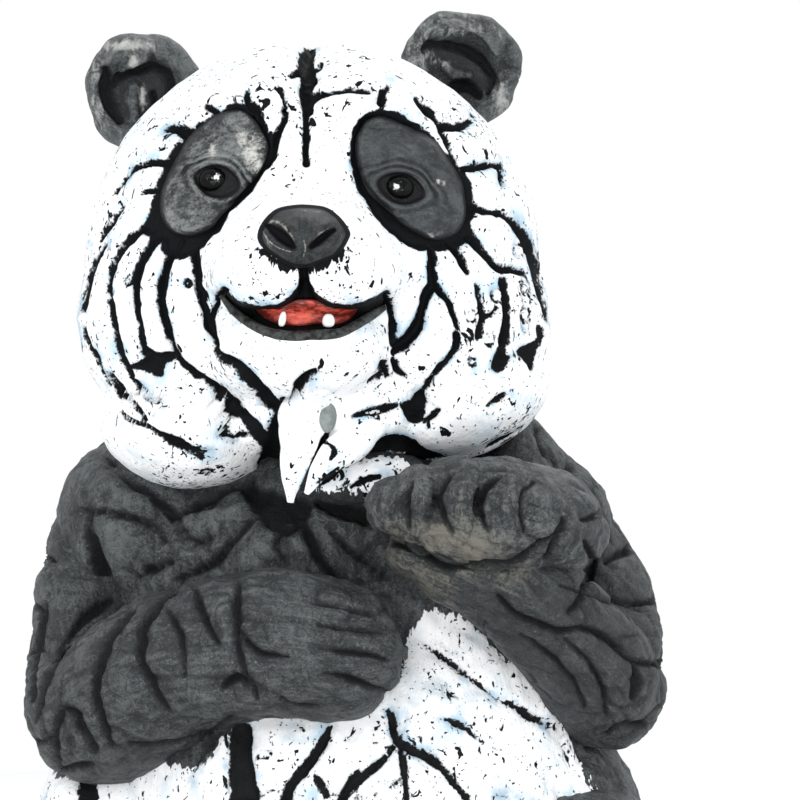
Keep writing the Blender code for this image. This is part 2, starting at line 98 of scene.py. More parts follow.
# the inverse of fromSheet, without the depth
def onSheet(points):
    spread = 1.0 + (points[..., 1] - sheet["drawn"]) / sheet["eye"]
    column = sheet["middle"] + (points[..., 0] - sheet["right"]) / spread
    row = sheet["middle"] - (points[..., 2] - sheet["up"]) / spread
    return np.stack((column, row), axis=-1)


def toMetres(points):
    return (points - (0.0, sheet["back"], 0.0)) * square + (0.0, 0.0, sheet["baseTop"])


# a cubic through the points whose slope at each is half the step between its neighbours
def curveThrough(points, perSpan=7, closed=False):
    p = np.array(points, float)
    if closed:
        p = np.concatenate((p[-1:], p, p[:2]))
    else:
        p = np.concatenate((2 * p[:1] - p[1:2], p, 2 * p[-1:] - p[-2:-1]))
    spans = len(p) - 3
    t = np.linspace(0.0, spans, spans * perSpan + 1)
    i = np.minimum(t.astype(int), spans - 1)
    t = (t - i)[:, None]
    a, b, c, d = p[i], p[i + 1], p[i + 2], p[i + 3]
    return 0.5 * (2 * b + (c - a) * t + (2 * a - 5 * b + 4 * c - d) * t**2 + (3 * b - a - 3 * c + d) * t**3)


# distance from each place to a line of samples, less the line's half width there
def lineGap(where, line, half):
    a, b = line[:-1], line[1:]
    step = b - a
    along = ((where[:, None, :] - a) * step).sum(axis=2) / np.maximum((step**2).sum(axis=1), 1e-9)
    along = np.clip(along, 0.0, 1.0)
    away = np.linalg.norm(where[:, None, :] - (a + along[..., None] * step), axis=2)
    return (away - (half[:-1] + (half[1:] - half[:-1]) * along)).min(axis=1)


# squares from the nearest crack's edge, negative inside it, no more than farthest
def crackGap(where, cracks, farthest=32.0):
    gap = np.full(len(where), farthest)
    for crack in cracks:
        line = curveThrough(crack)
        track, half = line[:, :2], np.maximum(0.5 * line[:, 2], 0.2)
        reach = farthest + half.max()
        near = ((where > track.min(axis=0) - reach) & (where < track.max(axis=0) + reach)).all(axis=1)
        if near.any():
            gap[near] = np.minimum(gap[near], lineGap(where[near], track, half))
    return gap


# distance to a closed outline, negative inside: inside is where an odd number of edges lies to the right
def outlineGap(where, outline, farthest=40.0):
    line = curveThrough(outline, closed=True)
    gap = np.full(len(where), farthest)
    reach = farthest + 2.0
    near = ((where > line.min(axis=0) - reach) & (where < line.max(axis=0) + reach)).all(axis=1)
    if not near.any():
        return gap
    spots = where[near]
    away = lineGap(spots, line, np.zeros(len(line)))
    a, b = line[:-1], line[1:]
    crosses = (a[:, 1] > spots[:, 1:2]) != (b[:, 1] > spots[:, 1:2])
    rise = np.where(np.abs(b[:, 1] - a[:, 1]) < 1e-9, 1e-9, b[:, 1] - a[:, 1])
    at = a[:, 0] + (spots[:, 1:2] - a[:, 1]) / rise * (b[:, 0] - a[:, 0])
    inside = (crosses & (at > spots[:, 0:1])).sum(axis=1) % 2 == 1
    gap[near] = np.minimum(farthest, np.where(inside, -away, away))
    return gap


# value noise from -1 to 1: a hashed value at each corner of a cell, blended by smooth steps
def lumps(points, size, seed=0.0):
    spot = points / size
    cell = np.floor(spot)
    share = spot - cell
    share = share * share * (3.0 - 2.0 * share)
    total = np.zeros(len(points))
    for corner in np.ndindex(2, 2, 2):
        wave = np.sin((cell + corner) @ np.array((127.1, 311.7, 74.7)) + seed) * 43758.5453
        weight = np.prod(np.where(corner, share, 1.0 - share), axis=1)
        total += weight * (wave - np.floor(wave))
    return 2.0 * total - 1.0


# where a ray from start leaves a tilted ellipsoid, 0 where it misses
def lobeReach(rays, start, middle, radii, tilt):
    c, s = cosSin(-tilt)
    turn = np.array(((c, 0.0, s), (0.0, 1.0, 0.0), (-s, 0.0, c)))
    ray = rays @ turn.T / radii
    offset = (start - middle) @ turn.T / radii
    a = (ray**2).sum(axis=-1)
    b = ray @ offset
    root = b * b - a * ((offset**2).sum() - 1.0)
    reach = (np.sqrt(np.maximum(root, 0.0)) - b) / a
    return np.where((root > 0.0) & (reach > 0.0), reach, 0.0)


# softness * log of the sum of exp(reach / softness): a soft largest of the lobes' reaches
def lobedReach(rays, form, softness=14.0):
    start = fromSheet(*form["middle"])
    total = np.zeros(rays.shape[:-1])
    for where, radii, tilt in form["lobes"]:
        total += np.exp(lobeReach(rays, start, fromSheet(*where), np.array(radii, float), tilt) / softness)
    return softness * np.log(total)


# points of a lobed form on a grid of rings about a pole: middle + ray * reach. The rings are closer
# together near the pole: polar = pi * (k * s + (1 - k) * s^4)
def lobedGrid(form, pole, rings, around, near=1.0, frontShare=0.0):
    start = fromSheet(*form["middle"])
    axis = np.array(pole, float) / np.linalg.norm(pole)
    side = np.cross(axis, (0.0, 0.0, 1.0) if abs(axis[2]) < 0.9 else (0.0, -1.0, 0.0))
    side /= np.linalg.norm(side)
    other = np.cross(axis, side)
    s = (np.arange(rings) + 0.6) / (rings + 0.2)
    polar = math.pi * (near * s + (1.0 - near) * s**4)
    turn = turnsRound(around)
    turn = turn + frontShare * np.sin(turn)
    flat = np.sin(polar)[:, None, None]
    rays = np.cos(polar)[:, None, None] * axis + flat * (
        np.cos(turn)[None, :, None] * side + np.sin(turn)[None, :, None] * other
    )
    return start + rays * lobedReach(rays, form)[..., None]


# unit normals of a grid closed around: the cross product of its two central differences, turned outwards
def gridNormals(points):
    around = np.roll(points, -1, axis=1) - np.roll(points, 1, axis=1)
    along = np.gradient(points, axis=0)
    normal = np.cross(around, along)
    normal /= np.maximum(np.linalg.norm(normal, axis=2, keepdims=True), 1e-9)
    outward = ((points - points.mean(axis=(0, 1))) * normal).sum()
    return normal if outward > 0 else -normal


# the depth at which the line of sight through a place on the sheet meets a lobed form, by halving
def depthOn(form, where, near=-340.0, far=-40.0):
    low = np.full(where.shape[:-1], near)
    high = np.full(where.shape[:-1], far)
    start = fromSheet(*form["middle"])
    for _ in range(20):
        middle = 0.5 * (low + high)
        offset = fromSheet(where[..., 0], where[..., 1], middle) - start
        length = np.linalg.norm(offset, axis=-1)
        inside = length < lobedReach(offset / length[..., None], form)
        high = np.where(inside, middle, high)
        low = np.where(inside, low, middle)
    return 0.5 * (low + high)


def depthAt(form, column, row):
    return float(depthOn(form, np.array([[column, row]], float))[0])


# a closed skin: a grid of rings closed around, with a point at each end
def skin(name, points, material, paint=None, flow=None):
    rings, around = points.shape[:2]
    flat = np.concatenate((points.reshape(-1, 3), points[:1].mean(axis=1), points[-1:].mean(axis=1)))
    ring, turn = (v.ravel() for v in np.meshgrid(np.arange(rings - 1), np.arange(around), indexing="ij"))
    corners = [(0, 0), (0, 1), (1, 1), (1, 0)]
    quads = np.stack([(ring + i) * around + (turn + j) % around for i, j in corners], axis=1)
    loop = np.arange(around)
    after, last = (loop + 1) % around, rings * around - around
    caps = np.concatenate((
        np.stack((np.full(around, rings * around), after, loop), axis=1),
        np.stack((np.full(around, rings * around + 1), last + loop, last + after), axis=1),
    ))
    place = flat[quads]
    # six times the volume inside; below 0 the faces point inwards
    across = np.cross(place[:, 1], place[:, 2]) + np.cross(place[:, 2], place[:, 3])
    if np.einsum("ij,ij->i", place[:, 0], across).sum() < 0:
        quads, caps, corners = quads[:, ::-1], caps[:, ::-1], corners[::-1]
    mesh = bpy.data.meshes.new(name)
    mesh.from_pydata(toMetres(flat).tolist(), [], quads.tolist() + caps.tolist())
    mesh.shade_smooth()
    for label, values in (paint or {}).items():
        values = values.reshape(rings, around)
        full = np.concatenate((values.ravel(), (values[0].mean(), values[-1].mean())))
        mesh.attributes.new(label, "FLOAT", "POINT").data.foreach_set("value", full.astype(np.float32))
    if flow is not None:
        # the way round goes on past the last column, so that no face runs back over the seam
        along, girth = flow
        spread = [np.stack((along[ring + i], girth[ring + i] * (turn + j) / around), axis=1)
                  for i, j in corners]
        ends = np.repeat([[along[0], 0.0], [along[-1], 0.0]], 3 * around, axis=0)
        every = np.concatenate((np.stack(spread, axis=1).reshape(-1, 2), ends)) * square
        mesh.uv_layers.new(name="flow").data.foreach_set("uv", every.astype(np.float32).ravel())
    obj = bpy.data.objects.new(name, mesh)
    bpy.context.scene.collection.objects.link(obj)
    mesh.materials.append(material)
    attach(obj, "root")
    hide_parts(node)
    return obj


# rings of radius r about a line of (right, depth, height, r), rounded off at both ends; also, for the run of
# the fur, how far along each ring stands and how far it is round the thickest one
def tubeGrid(line, along, around, start=0.0):
    samples = curveThrough(line, perSpan=12)
    travel = np.concatenate(((0.0,), np.cumsum(np.linalg.norm(np.diff(samples[:, :3], axis=0), axis=1))))
    length = travel[-1]
    first, last = samples[0, 3], samples[-1, 3]
    s = np.linspace(-first, length + last, along + 2)[1:-1]
    inside = np.clip(s, 0.0, length)
    path = np.stack([np.interp(inside, travel, samples[:, k]) for k in range(3)], axis=1)
    radius = np.interp(inside, travel, samples[:, 3])
    slope = np.gradient(path, axis=0)
    slope[s < 0] = slope[np.argmax(s >= 0) + 1]
    slope[s > length] = slope[np.argmax(s > length) - 2]
    slope /= np.linalg.norm(slope, axis=1)[:, None]
    path = path + slope * (s - inside)[:, None]
    beyond = np.where(s < 0, -s / max(first, 1e-6), np.where(s > length, (s - length) / max(last, 1e-6), 0.0))
    radius = radius * np.sqrt(np.clip(1.0 - beyond**2, 0.0, 1.0))
    side = np.cross(slope, (0.13, 0.2, 1.0))
    side /= np.linalg.norm(side, axis=1)[:, None]
    other = np.cross(slope, side)
    turn = start + turnsRound(around)
    rings = np.cos(turn)[None, :, None] * side[:, None] + np.sin(turn)[None, :, None] * other[:, None]
    girth = 2 * math.pi * np.full(len(s), float(radius.max()))
    return path[:, None] + rings * radius[:, None, None], (s, girth)


# the angles of a small ball's rows, from pole to pole, and columns
def globeAngles(rows, around):
    return np.linspace(0.02, 0.98, rows)[:, None] * math.pi, turnsRound(around)[None]


def sheetLine(line):
    return [(*fromSheet(column, row, depth), radius) for column, row, depth, radius in line]


# Staggered slabs round the figure: two nearest of the jittered middles, and half the difference of
# their distances is the way to the crack between them
slabs = {"columns": 15, "height": 104.0, "seed": 11, "half": 3.6}


def slabGap(points):
    angle = np.arctan2(points[:, 0], points[:, 1] - 20.0) / (2 * math.pi) * slabs["columns"]
    angle = angle + 0.5 * np.sin(points[:, 2] / 90.0)
    height = points[:, 2] / slabs["height"]
    ring = np.floor(height)
    width = 1200.0 / slabs["columns"]
    first = np.full(len(points), 1e6)
    second = first.copy()
    for ringStep in (-1, 0, 1):
        row = ring + ringStep
        shift = 0.5 * (row % 2)
        column = np.floor(angle - shift)
        for columnStep in (-1, 0, 1, 2):
            slot = column + columnStep
            wobble = slot % slabs["columns"] * 12.9898 + row * 78.233 + slabs["seed"]
            jitter = np.sin(wobble) * 43758.5453 % 1.0 - 0.5
            lift = np.sin(wobble * 1.7) * 24634.6345 % 1.0 - 0.5
            across = (angle - slot - shift - 0.5 * jitter) * width
            rise = (height - row - 0.5 - 0.45 * lift) * slabs["height"] * 0.62
            away = np.hypot(across, rise)
            second = np.minimum(second, np.maximum(first, away))
            first = np.minimum(first, away)
    # the cracks wander, widen and close up again
    wander = 2.2 * lumps(points, 22.0, 5.0) + 0.9 * lumps(points, 9.0, 6.0)
    width = slabs["half"] * (0.85 + 1.3 * lumps(points, 64.0, 15.0))
    return 0.5 * (second - first) - width - wander


# Carving along the normal: a steep groove in each crack and blot, a crown on each slab, raised ridges,
# shallow creases where a noise crosses zero, and lumps of three sizes
def carved(points, shape, depth, crown, rough, creased=0.0, ringed=True, wrinkled=None):
    rings, around = points.shape[:2]
    normals = gridNormals(points).reshape(-1, 3)
    flat = points.reshape(-1, 3)
    where = onSheet(flat)
    front = np.maximum(smoothStep(-0.14, 0.02, -normals[:, 1]), smoothStep(-55.0, -95.0, flat[:, 1]))
    front = front * smoothStep(sheet["lastRow"] + 14, sheet["lastRow"], where[:, 1])
    wander = np.stack((lumps(flat, 9.0, 1.0), lumps(flat, 9.0, 2.0)), axis=1)
    gap = crackGap(where + 1.2 * wander, shape.get("cracks", ()))
    for column, row, radius in shape.get("stamps", ()):
        away = spotAway(where, column, row, 0.8) + 1.3 * wander[:, 0]
        gap = np.minimum(gap, np.abs(away - radius) - 0.2)
    blot = np.full(len(flat), 32.0)
    for outline in shape.get("blots", ()):
        blot = np.minimum(blot, outlineGap(where + 1.5 * wander, outline))
    away = farOff * (1.0 - front)
    gap, blot = gap + away, blot + away
    if ringed:
        level = smoothStep(0.72, 0.95, normals[:, 2] + 0.16 * lumps(flat, 50.0, 16.0)) * 30.0
        gap = np.minimum(gap, slabGap(flat) + farOff * front + level)
    gap = np.minimum(gap, 32.0)
    blotDepth = shape.get("blotDepth", depth)
    groove = np.maximum(depth * smoothStep(1.8, -4.5, gap), blotDepth * smoothStep(2.0, -7.0, blot))
    rise = crown * (1.0 - np.exp(-np.maximum(np.minimum(gap, blot), 0.0) / 8.0)) - 0.7 * crown
    relief = 1.5 * lumps(flat, 34.0, 7.0) + 0.9 * lumps(flat, 13.0, 3.0) + 0.35 * lumps(flat, 5.5, 4.0)
    relief = rough * relief
    if wrinkled is not None:
        # long folds: lumps drawn out along a line turned clockwise by so many degrees
        c, s = cosSin(wrinkled)
        lie = np.stack((flat[:, 0] * c - flat[:, 2] * s, flat[:, 1], flat[:, 0] * s + flat[:, 2] * c), axis=1)
        lie *= (0.3, 0.7, 1.0)
        relief += 1.4 * lumps(lie, 8.0, 31.0) - 1.8 * smoothStep(0.24, 0.0, np.abs(lumps(lie, 15.0, 32.0)))
    ridge = np.zeros(len(flat))
    for line, height in shape.get("ridges", ()):
        ridge = np.maximum(ridge, height * smoothStep(2.5, -3.5, crackGap(where, (line,), 12.0) + away))
    if creased:
        # the creases end where a second, broader noise is low
        fade, finerFade = lumps(flat, 70.0, 12.0), lumps(flat, 50.0, 22.0)
        fold = 17.0 * np.abs(lumps(flat, 36.0, 11.0)) + 30.0 * smoothStep(0.35, -0.25, fade)
        finer = 13.0 * np.abs(lumps(flat, 26.0, 21.0)) + 30.0 * smoothStep(0.5, -0.1, finerFade)
        fold = np.minimum(fold, finer)
        relief = relief - creased * smoothStep(2.6, 0.2, fold)
        gap = np.minimum(gap, fold + 0.6)
    moved = flat + normals * (rise - groove + relief + ridge)[:, None]
    high = 0.5 + 0.14 * relief / max(rough, 0.1) + 0.22 * rise / max(crown, 0.1) + 0.07 * ridge
    paint = {"crack": np.minimum(gap, blot), "high": high}
    if "busy" in shape:
        paint["busy"] = np.zeros(len(flat))
        for column, row, radius, share in shape["busy"]:
            near = share * bell(spotAway(where, column, row), radius)
            paint["busy"] = np.maximum(paint["busy"], near)
    return moved.reshape(rings, around, 3), paint, where, normals


# a grid carved, kept from sinking deeper than the base's top, marked all black or all white, and closed
def furPiece(name, grid, shape, slot, finish, dark, marks=None, flow=None, **cuts):
    points, paint, where, normals = carved(grid, shape, **cuts)
    points[..., 2] = np.maximum(points[..., 2], sheet["sunk"])
    paint["dark"] = np.full(len(where), dark)
    if marks:
        paint.update(marks(paint, where, normals))
    return skin(name, points, finish, paint, flow)


# One socket with arithmetic on it; a number on either side is left on the Math node
class Wire:
    def __init__(self, shader, socket):
        self.shader, self.socket = shader, socket

    def math(self, operation, *others, swap=False):
        inputs = (*others, self) if swap else (self, *others)
        return self.shader.node("ShaderNodeMath", {"operation": operation}, dict(enumerate(inputs)))

    def __add__(self, other):
        return self.math("ADD", other)

    __radd__ = __add__

    def __mul__(self, other):
        return self.math("MULTIPLY", other)

    __rmul__ = __mul__

    def __sub__(self, other):
        return self.math("SUBTRACT", other)

    def __rsub__(self, other):
        return self.math("SUBTRACT", other, swap=True)

    def most(self, other):
        return self.math("MAXIMUM", other)


class Shader:
    def __init__(self, name):
        self.material = bpy.data.materials.new(name)
        self.material.use_nodes = True
        self.tree = self.material.node_tree
        self.surface = self.tree.nodes["Principled BSDF"]
        self.place = self.node("ShaderNodeTexCoord", {}, {}, "Object")

    # any node: its settings first, then the values or links of its sockets
    def node(self, kind, settings, sockets, out=0):
        made = self.tree.nodes.new(kind)
        for label, value in settings.items():
            setattr(made, label, value)
        for label, value in sockets.items():
            self.plug(made.inputs[label], value)
        return Wire(self, made.outputs[out])

    def plug(self, socket, value):
        if isinstance(value, Wire):
            self.tree.links.new(value.socket, socket)
        else:
            socket.default_value = value

    def attributes(self, *names):
        return [self.node("ShaderNodeAttribute", {"attribute_name": name}, {}, "Fac") for name in names]

    def stretched(self, scale, turn=(0.0, 0.0, 0.0), source=None):
        sockets = {"Vector": source or self.place, "Scale": scale, "Rotation": turn}
        return self.node("ShaderNodeMapping", {}, sockets, "Vector")

    def noise(self, vector, scale, detail=3.0, rough=0.55, bent=0.0):
        sockets = {"Vector": vector, "Scale": scale, "Detail": detail, "Roughness": rough, "Distortion": bent}
        return self.node("ShaderNodeTexNoise", {}, sockets, "Fac")

    # a smooth rise from 0 at low to 1 at high
    def step(self, value, low, high):
        if low > high:
            return 1.0 - self.step(value, high, low)
        sockets = {"Value": value, "From Min": low, "From Max": high}
        return self.node("ShaderNodeMapRange", {"interpolation_type": "SMOOTHSTEP"}, sockets, "Result")

    def mix(self, share, first, second):
        made = self.tree.nodes.new("ShaderNodeMix")
        made.data_type = "RGBA"
        self.plug(made.inputs[0], share)
        self.plug(made.inputs[6], (*first, 1.0) if isinstance(first, tuple) else first)
        self.plug(made.inputs[7], (*second, 1.0) if isinstance(second, tuple) else second)
        return Wire(self, made.outputs[2])

    def bump(self, height, strength, distance):
        sockets = {"Height": height, "Strength": strength, "Distance": distance}
        return self.node("ShaderNodeBump", {}, sockets, "Normal")

    def finish(self, **sockets):
        for label, value in sockets.items():
            self.plug(self.surface.inputs[label.replace("_", " ")], value)
        return self.material


# Fur paint. White is brushed over black: it misses the cracks, frays at their edges and leaves flecks.
# Black is brushed with grey, which misses its grooves and catches on their shoulders.
furColours = {
    "white": (0.90, 0.905, 0.91),
    "cool": (0.48, 0.62, 0.72),
    "thin": (0.20, 0.25, 0.29),
    "underpaint": (0.0045, 0.005, 0.0055),
    "black": (0.026, 0.0285, 0.030),
    "rubbed": (0.118, 0.129, 0.130),
    "warm": (0.205, 0.188, 0.160),
    "grit": (0.36, 0.36, 0.34),
    "dust_and_highlight": (0.170, 0.160, 0.135),
}


# flecks: how many the white has; rubbed, dustAndHighlight and warm: shares of grey, bloom and warm grey on
# the black, the bloom being dust, and on the ears partly painted highlight;
# flow: brushed along the piece's own run
def furPaint(name, flecks=0.5, rubbed=0.5, dustAndHighlight=0.0, flow=False, warm=0.5, bloom=furColours["dust_and_highlight"],
             specular=0.10):
    made = Shader(name)
    crack, dark, high, busy, fringe = made.attributes("crack", "dark", "high", "busy", "fringe")
    fine = made.noise(made.place, 950.0, 3.0, 0.6)
    fray = made.noise(made.place, 240.0, 3.0, 0.6)
    broad = made.noise(made.place, 30.0, 2.0, 0.5)
    grit = made.noise(made.place, 1900.0, 3.0, 0.7)
    fleck = made.noise(made.stretched((1.0, 1.0, 0.55), (0.0, 0.75, 0.0)), 330.0, 2.0, 0.55, 0.5)
    chip = made.noise(made.stretched((1.0, 1.0, 0.65), (0.0, -0.5, 0.3)), 140.0, 3.0, 0.62, 0.8)
    dot = made.noise(made.place, 700.0, 1.0, 0.5, 0.4)

    # white: bare at the cracks' edges, and missed in flecks, chips and dots
    edge = crack + (fray - 0.5) * 6.0 + (fine - 0.5) * 2.6
    bare = made.step(edge, 1.2, 0.2)
    nearEdge = made.step(crack, 11.0, 1.0)
    cluster = made.step(broad, 0.48, 0.68)
    lower = cluster * 0.034 * flecks + nearEdge * 0.020 + busy * 0.082
    over = (fleck - 0.700 + lower).most((chip - 0.717 + lower) * 0.8).most((dot - 0.724 + lower * 0.8) * 0.8)
    missed = bare.most(made.step(over, 0.0, 0.012))
    strokes = made.noise(made.stretched((1.0, 1.0, 0.16)), 620.0, 2.0, 0.5)
    missed = missed.most(made.step(fringe + (strokes - 0.5) * 2.4, 0.66, 0.78))
    halo = made.step(over, -0.040, 0.004) * 0.6 + made.step(edge, 5.0, 0.5) * 0.30

    # a cool blue-grey in broad washes and in the busy places; heavier near the cracks' edges, where it is
    # painted cool shade
    wash = made.step(made.noise(made.place, 75.0, 3.0, 0.6), 0.48, 0.66)
    tint = wash * (0.20 + nearEdge * 0.8 + busy * 0.5)
    paint = made.mix(tint, furColours["white"], furColours["cool"])
    paint = made.mix(halo * made.step(fray, 0.35, 0.65), paint, furColours["thin"])
    whiteFur = made.mix(missed, paint, furColours["underpaint"])

    # black: rubbed on the flats, warm on the shoulders, with pale grit and a pale bloom of dust and painted
    # highlight
    lie = made.node("ShaderNodeUVMap", {"uv_map": "flow"}, {}, "UV") if flow else None
    drawn = made.stretched((0.14, 1.0, 1.0) if flow else (1.0, 1.0, 0.3), source=lie)
    streak = made.noise(drawn, 420.0, 4.0, 0.65)
    curl = made.noise(made.place, 150.0, 5.0, 0.66, 1.8)
    plateau = made.step(crack + (fray - 0.5) * 4.5 + (fine - 0.5) * 2.5, -2.4, 3.2)
    shoulder = made.step(crack, 7.0, 2.0) * made.step(crack, 0.5, 2.0)
    grain = (fine - 0.5) * 1.1 + (streak - 0.5) * 1.3 + (grit - 0.5) * 0.9 + (curl - 0.5) * 1.6
    worn = made.step(high * 0.85 + grain, 0.02, 1.05) * plateau * rubbed
    darkFur = made.mix(worn, furColours["black"], furColours["rubbed"])
    brushed = made.step((shoulder * 0.35 + high * 0.5 + grain * 0.75) * plateau, 0.72, 1.25)
    darkFur = made.mix(brushed * warm, darkFur, furColours["warm"])
    grains = made.step(grit + (fine - 0.5) * 0.5, 0.735, 0.79) * plateau * 0.7
    darkFur = made.mix(grains, darkFur, furColours["grit"])
    if dustAndHighlight:
        dust_and_highlight = made.step(high * 0.4 + (broad - 0.5) * 1.2 + (streak - 0.5) * 1.6 + (curl - 0.5) * 1.6
                         + (fine - 0.5) * 0.8 + made.attributes("dust_and_highlight")[0], 0.40, 1.45)
        darkFur = made.mix(dust_and_highlight * dustAndHighlight * plateau, darkFur, bloom)
    darkFur = made.mix(plateau, furColours["underpaint"], darkFur)

    border = dark + (fray - 0.5) * 10.0 + (fleck - 0.5) * 14.0 + (strokes - 0.5) * 16.0
    blackened = made.step(border, -0.6, 0.6)
    colour = made.mix(blackened, whiteFur, darkFur)
    bristle = made.noise(made.stretched((1.0, 1.0, 0.2), (0.0, 0.25, 0.0)), 520.0, 3.0, 0.6)
    lift = (bristle * 0.5 + fine * 0.3 - missed * 0.8) * (1.0 - blackened)
    lift = lift + (curl * 2.2 + fine * 0.9 + streak * 0.7 + grit * 0.35) * blackened
    roughness = 0.58 + missed * 0.15 - blackened * 0.14 + (fine - 0.5) * 0.25
    return made.finish(
        Base_Color=colour,
        Roughness=roughness,
        Normal=made.bump(lift, 0.75, 0.0013),
        Specular_IOR_Level=specular,
    )


# Smooth painted finishes, with a fine pore and a slow change of tone
def plainPaint(name, colour, second, rough, size=300.0, dents=0.3, specular=0.5):
    made = Shader(name)
    pore = made.noise(made.place, size, 4.0, 0.65)
    slow = made.noise(made.place, size / 9.0, 2.0, 0.5)
    tone = made.mix(made.step(pore * 0.6 + slow * 0.4, 0.40, 0.62), colour, second)
    return made.finish(
        Base_Color=tone,
        Roughness=rough + (pore - 0.5) * 0.3,
        Normal=made.bump(pore, dents, 0.0007),
        Specular_IOR_Level=specular,
    )


print("camera and light")
view = {"sensor": 36.0, "frame": 800.0, "farthest": 20.0, "chest": (0.0, 0.0, 0.24)}
eyeDepth = sheet["drawn"] - sheet["eye"]
cameraData = bpy.data.cameras.new("camera")
cameraData.sensor_width = view["sensor"]
cameraData.lens = view["sensor"] * sheet["eye"] / view["frame"]
cameraData.clip_end = view["farthest"]
camera = bpy.data.objects.new("camera", cameraData)
bpy.context.scene.collection.objects.link(camera)
camera.location = toMetres(np.array((sheet["right"], eyeDepth, sheet["up"])))
camera.rotation_euler = (math.radians(90), 0.0, 0.0)
bpy.context.scene.camera = camera

# each lamp: place, size, power, colour; all are turned to the figure's chest
lamps = {
    "key": ((-0.95, -1.0, 1.1), 0.6, 6.0, (1.0, 0.99, 0.97)),
    "fill": ((1.25, -0.75, 0.5), 0.9, 5.0, (0.96, 0.985, 1.0)),
    "crest": ((0.25, 0.75, 1.2), 0.6, 6.0, (1.0, 1.0, 1.0)),
    "front": ((0.05, -1.9, 0.80), 0.25, 4.0, (1.0, 1.0, 1.0)),
    "low": ((-0.15, -1.3, 0.08), 0.25, 6.0, (1.0, 1.0, 1.0)),
}
for label, (place, size, power, colour) in lamps.items():
    lampData = bpy.data.lights.new(label, "AREA")
    lampData.energy, lampData.size, lampData.color = power, size, colour
    lamp = bpy.data.objects.new(label, lampData)
    bpy.context.scene.collection.objects.link(lamp)
    lamp.location = place
    lamp.rotation_euler = (Vector(view["chest"]) - Vector(place)).to_track_quat("-Z", "Y").to_euler()

# the camera sees plain white, while the figure is lit by a softer, cooler sky
studio = {"seen": ((1.0, 1.0, 1.0, 1.0), 1.0), "soft": ((0.95, 0.975, 1.0, 1.0), 0.92)}
world = bpy.data.worlds.new("studio")
bpy.context.scene.world = world
world.use_nodes = True
sky = world.node_tree
seen, soft = sky.nodes["Background"], sky.nodes.new("ShaderNodeBackground")
for background, label in ((seen, "seen"), (soft, "soft")):
    background.inputs["Color"].default_value, background.inputs["Strength"].default_value = studio[label]
rays = sky.nodes.new("ShaderNodeLightPath")
either = sky.nodes.new("ShaderNodeMixShader")
sky.links.new(rays.outputs["Is Camera Ray"], either.inputs[0])
sky.links.new(soft.outputs[0], either.inputs[1])
sky.links.new(seen.outputs[0], either.inputs[2])
sky.links.new(either.outputs[0], sky.nodes["World Output"].inputs["Surface"])
bpy.context.scene.view_settings.view_transform = "Standard"


# a flat disc of rings with a closed middle, a little under the figure's base
def studioFloor(radius=1.1, rings=24, around=96, under=0.0004):
    r = np.linspace(0.02, radius, rings)[:, None]
    a = turnsRound(around)[None]
    top = np.stack((r * np.cos(a), r * np.sin(a), np.zeros((rings, around)) - under), axis=2)
    mesh = bpy.data.meshes.new("floor")
    ring, turn = (v.ravel() for v in np.meshgrid(np.arange(rings - 1), np.arange(around), indexing="ij"))
    after = (turn + 1) % around
    quads = np.stack((ring * around + turn, (ring + 1) * around + turn, (ring + 1) * around + after,
                      ring * around + after), axis=1)
    mesh.from_pydata(top.reshape(-1, 3).tolist(), [], quads.tolist() + [list(range(around))])
    floor = bpy.data.objects.new("floor", mesh)
    bpy.context.scene.collection.objects.link(floor)
    mesh.materials.append(plainPaint("floor_card", (0.86, 0.86, 0.86), (0.84, 0.84, 0.84), 0.8, 40.0, 0.02))


studioFloor()

